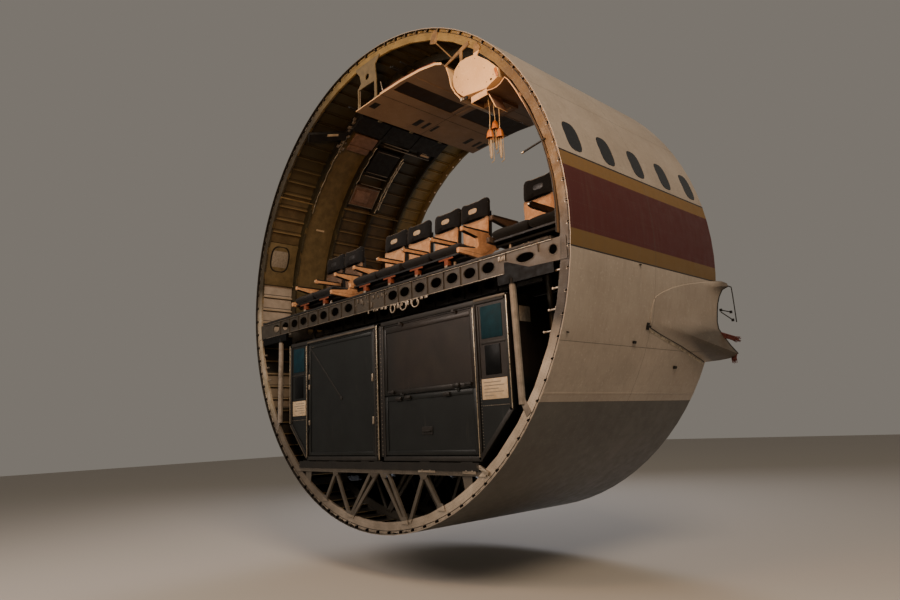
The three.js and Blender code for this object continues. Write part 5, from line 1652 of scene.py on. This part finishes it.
def headrest_trims(name, number, x, body, pad):
    """A blank oval tag on the pad's front, and pale piping along its top and round its corners: a
    painted highlight on the lit edge.
    """
    bm = bmesh.new()
    tag = oval_plate(bm, 0.138, 0.062, 0.006, 3.4, 28)
    front = min(p.y for p in pad if abs(p.x) < 0.06 and abs(p.z - 0.765) < 0.03)
    face_forward(bm, tag)
    bmesh.ops.rotate(bm, verts=tag, matrix=Matrix.Rotation(math.radians(-5), 3, "X"))
    bmesh.ops.translate(bm, vec=(x, front - 0.001, 0.765), verts=tag)
    # On the side units the tag is as dark as the shell: painted shade
    finish = "placard" if name == "centre" else "shell"
    piece(f"headrest_tag_{name}_{number}", bm, finish, body, bevel=0.001, slot="white_placard")
    # Pale piping along the top-front edge, where light falls: a painted highlight
    bm = bmesh.new()
    line = []
    for k in range(-7, 8):
        if abs(k) < 7:
            near = [p for p in pad if abs(p.x - k * 0.03) < 0.013]
            line.append(max(near, key=lambda p: p.z - 0.8 * p.y))
        else:
            near = [p for p in pad if abs(p.z - 0.835) < 0.013]
            side = math.copysign(1, k)
            line.append(max(near, key=lambda p: side * p.x - 0.8 * p.y))
    cable(bm, [spot + Vector((x, 0, 0)) for spot in line], 0.0024, 6)
    piece(f"headrest_piping_{name}_{number}", bm, "strap", body)


def armrest_trims():
    """A dark pad along each armrest's top, a dark lower strip and a bright button on its nose."""
    for number in (1, 2, 3):
        edge = (number - 2) * SEAT_PITCH
        arm_dressing(f"armrest_pad_{number}", edge, f"arm_{number}")
    for name, middle, _ in (SEAT_UNITS[0], SEAT_UNITS[2]):
        arm_dressing(f"armrest_pad_{name}", middle, "root")
    middle = SEAT_UNITS[0][1]
    made_of("armrest_sleeve_left", "leather", prism,
            [(rounded_arm(0.0285), "X", middle - 0.0155, middle + 0.0218)], bevel=0.004)


def rounded_arm(radius):
    """An armrest's side view: round at its nose."""
    nose = [math.radians(a) for a in range(95, 266, 17)]
    return [(0.92, 0.396 - radius), (0.92, 0.396 + radius)] + [
        (0.511 + radius * math.cos(a), 0.396 + radius * math.sin(a)) for a in nose]


def arm_dressing(name, edge, body):
    """One armrest's pad and lower strip, and the button on its nose."""
    made_of(name, "dark", block,
            (((edge - 0.0165, 0.512, 0.409), (edge + 0.0225, 0.9, 0.4285)),
             ((edge - 0.0165, 0.53, 0.3645), (edge + 0.0225, 0.9, 0.3765))), body, bevel=0.0025)
    made_of(name.replace("pad", "button"), "bright", pin,
            [(edge + 0.0033, 0.396, 0.4805, 0.4855, 0.0115, 16)], body, bevel=0.001)


# The units' end panels from the side: how far back and how high
END_PANEL = [(0.487, 0.418), (0.487, 0.374), (0.72, 0.332), (0.738, 0.24), (0.7, 0.196),
             (0.422, 0.168), (0.422, 0.116), (0.766, 0.088), (0.89, 0.14), (1.01, 0.225),
             (1.06, 0.24), (1.06, 0.275), (1.01, 0.3), (0.945, 0.32), (0.93, 0.372), (0.89, 0.418)]


def grown(points, margin):
    """An outline moved out by a margin at each corner."""
    area = sum(a[0] * b[1] - a[1] * b[0] for a, b in zip(points, points[1:] + points[:1]))
    way = 1 if area > 0 else -1
    spots = []
    for before, here, after in zip(points[-1:] + points, points, points[1:] + points[:1]):
        a = (Vector(here) - Vector(before)).normalized()
        b = (Vector(after) - Vector(here)).normalized()
        normal = Vector((a.y + b.y, -a.x - b.x)).normalized() * way
        spots.append(Vector(here) + normal * margin)
    return [tuple(spot) for spot in spots]


def end_panels():
    """The units' end panels under tan leather, a dark pad on their armrest, painted shadow in the
    gap below it, and a stitched line.
    """
    leather, pads, seams = bmesh.new(), bmesh.new(), bmesh.new()
    for _, middle, count in SEAT_UNITS:
        for side in (-1, 1):
            edge = middle + side * count * SEAT_PITCH / 2
            prism(leather, grown(END_PANEL, 0.0045), "X", edge - 0.0225, edge + 0.0225)
            block(pads, (edge - 0.0245, 0.505, 0.4065), (edge + 0.0245, 0.9, 0.4275))
            # A dark strip in the gap under the armrest: painted shadow
            shadow_gap = [(0.5, 0.367), (0.72, 0.326), (0.727, 0.336), (0.5, 0.378)]
            prism(pads, shadow_gap, "X", edge - 0.0235, edge + 0.0235)
            line = [(0.44, 0.143), (0.6, 0.142), (0.76, 0.135), (0.85, 0.165), (0.93, 0.225)]
            for face in (-0.0226, 0.0226):
                cable(seams, [(edge + face, *spot) for spot in line], 0.0016, 6)
    piece("end_panel_leather", leather, "leather", bevel=0.009, segments=4)
    piece("end_panel_pads_and_gap_shadow", pads, "dark", bevel=0.002)
    piece("end_panel_stitching", seams, "dark")


def seat_fittings():
    """Under the cushions life vests' pouches on their straps, and each unit's wiring box."""
    pouches, tags, boxes = bmesh.new(), bmesh.new(), bmesh.new()
    for name, _, x in seat_places():
        if name == "right":
            continue
        block(pouches, (x - 0.118, 0.474, 0.09), (x + 0.118, 0.484, 0.1114))
        block(pouches, (x - 0.03, 0.476, 0.022), (x + 0.03, 0.486, 0.092))
        block(pouches, (x - 0.034, 0.487, 0.03), (x + 0.034, 0.53, 0.085))
        block(tags, (x - 0.022, 0.473, -0.008), (x + 0.022, 0.476, 0.03))
    for _, middle, _ in SEAT_UNITS:
        block(boxes, (middle - 0.12, 0.6, 0.03), (middle + 0.12, 0.78, 0.109))
    piece("vest_pouches", pouches, "vest", bevel=0.003)
    piece("vest_tags", tags, "strap", bevel=0.0008)
    piece("seat_wiring_boxes", boxes, "dark", bevel=0.003)


photographer()
mask_hoses()
studio()
dress_solids()
for make in (ring_trims, skin_edges, windows, window_reveals, window_blank, beam_trims,
             deck_trims, floor_fittings, container_frames, container_faces, door_trims,
             hold_trims, ceiling_trims, crown_fittings, bin_trims, service_trims, mask_bags,
             wall_trims, wall_wires, fairing_trims, fairing_flange, frayed_ends,
             outside_fittings, cushions, seat_backs, armrest_trims, end_panels, seat_fittings):
    make()
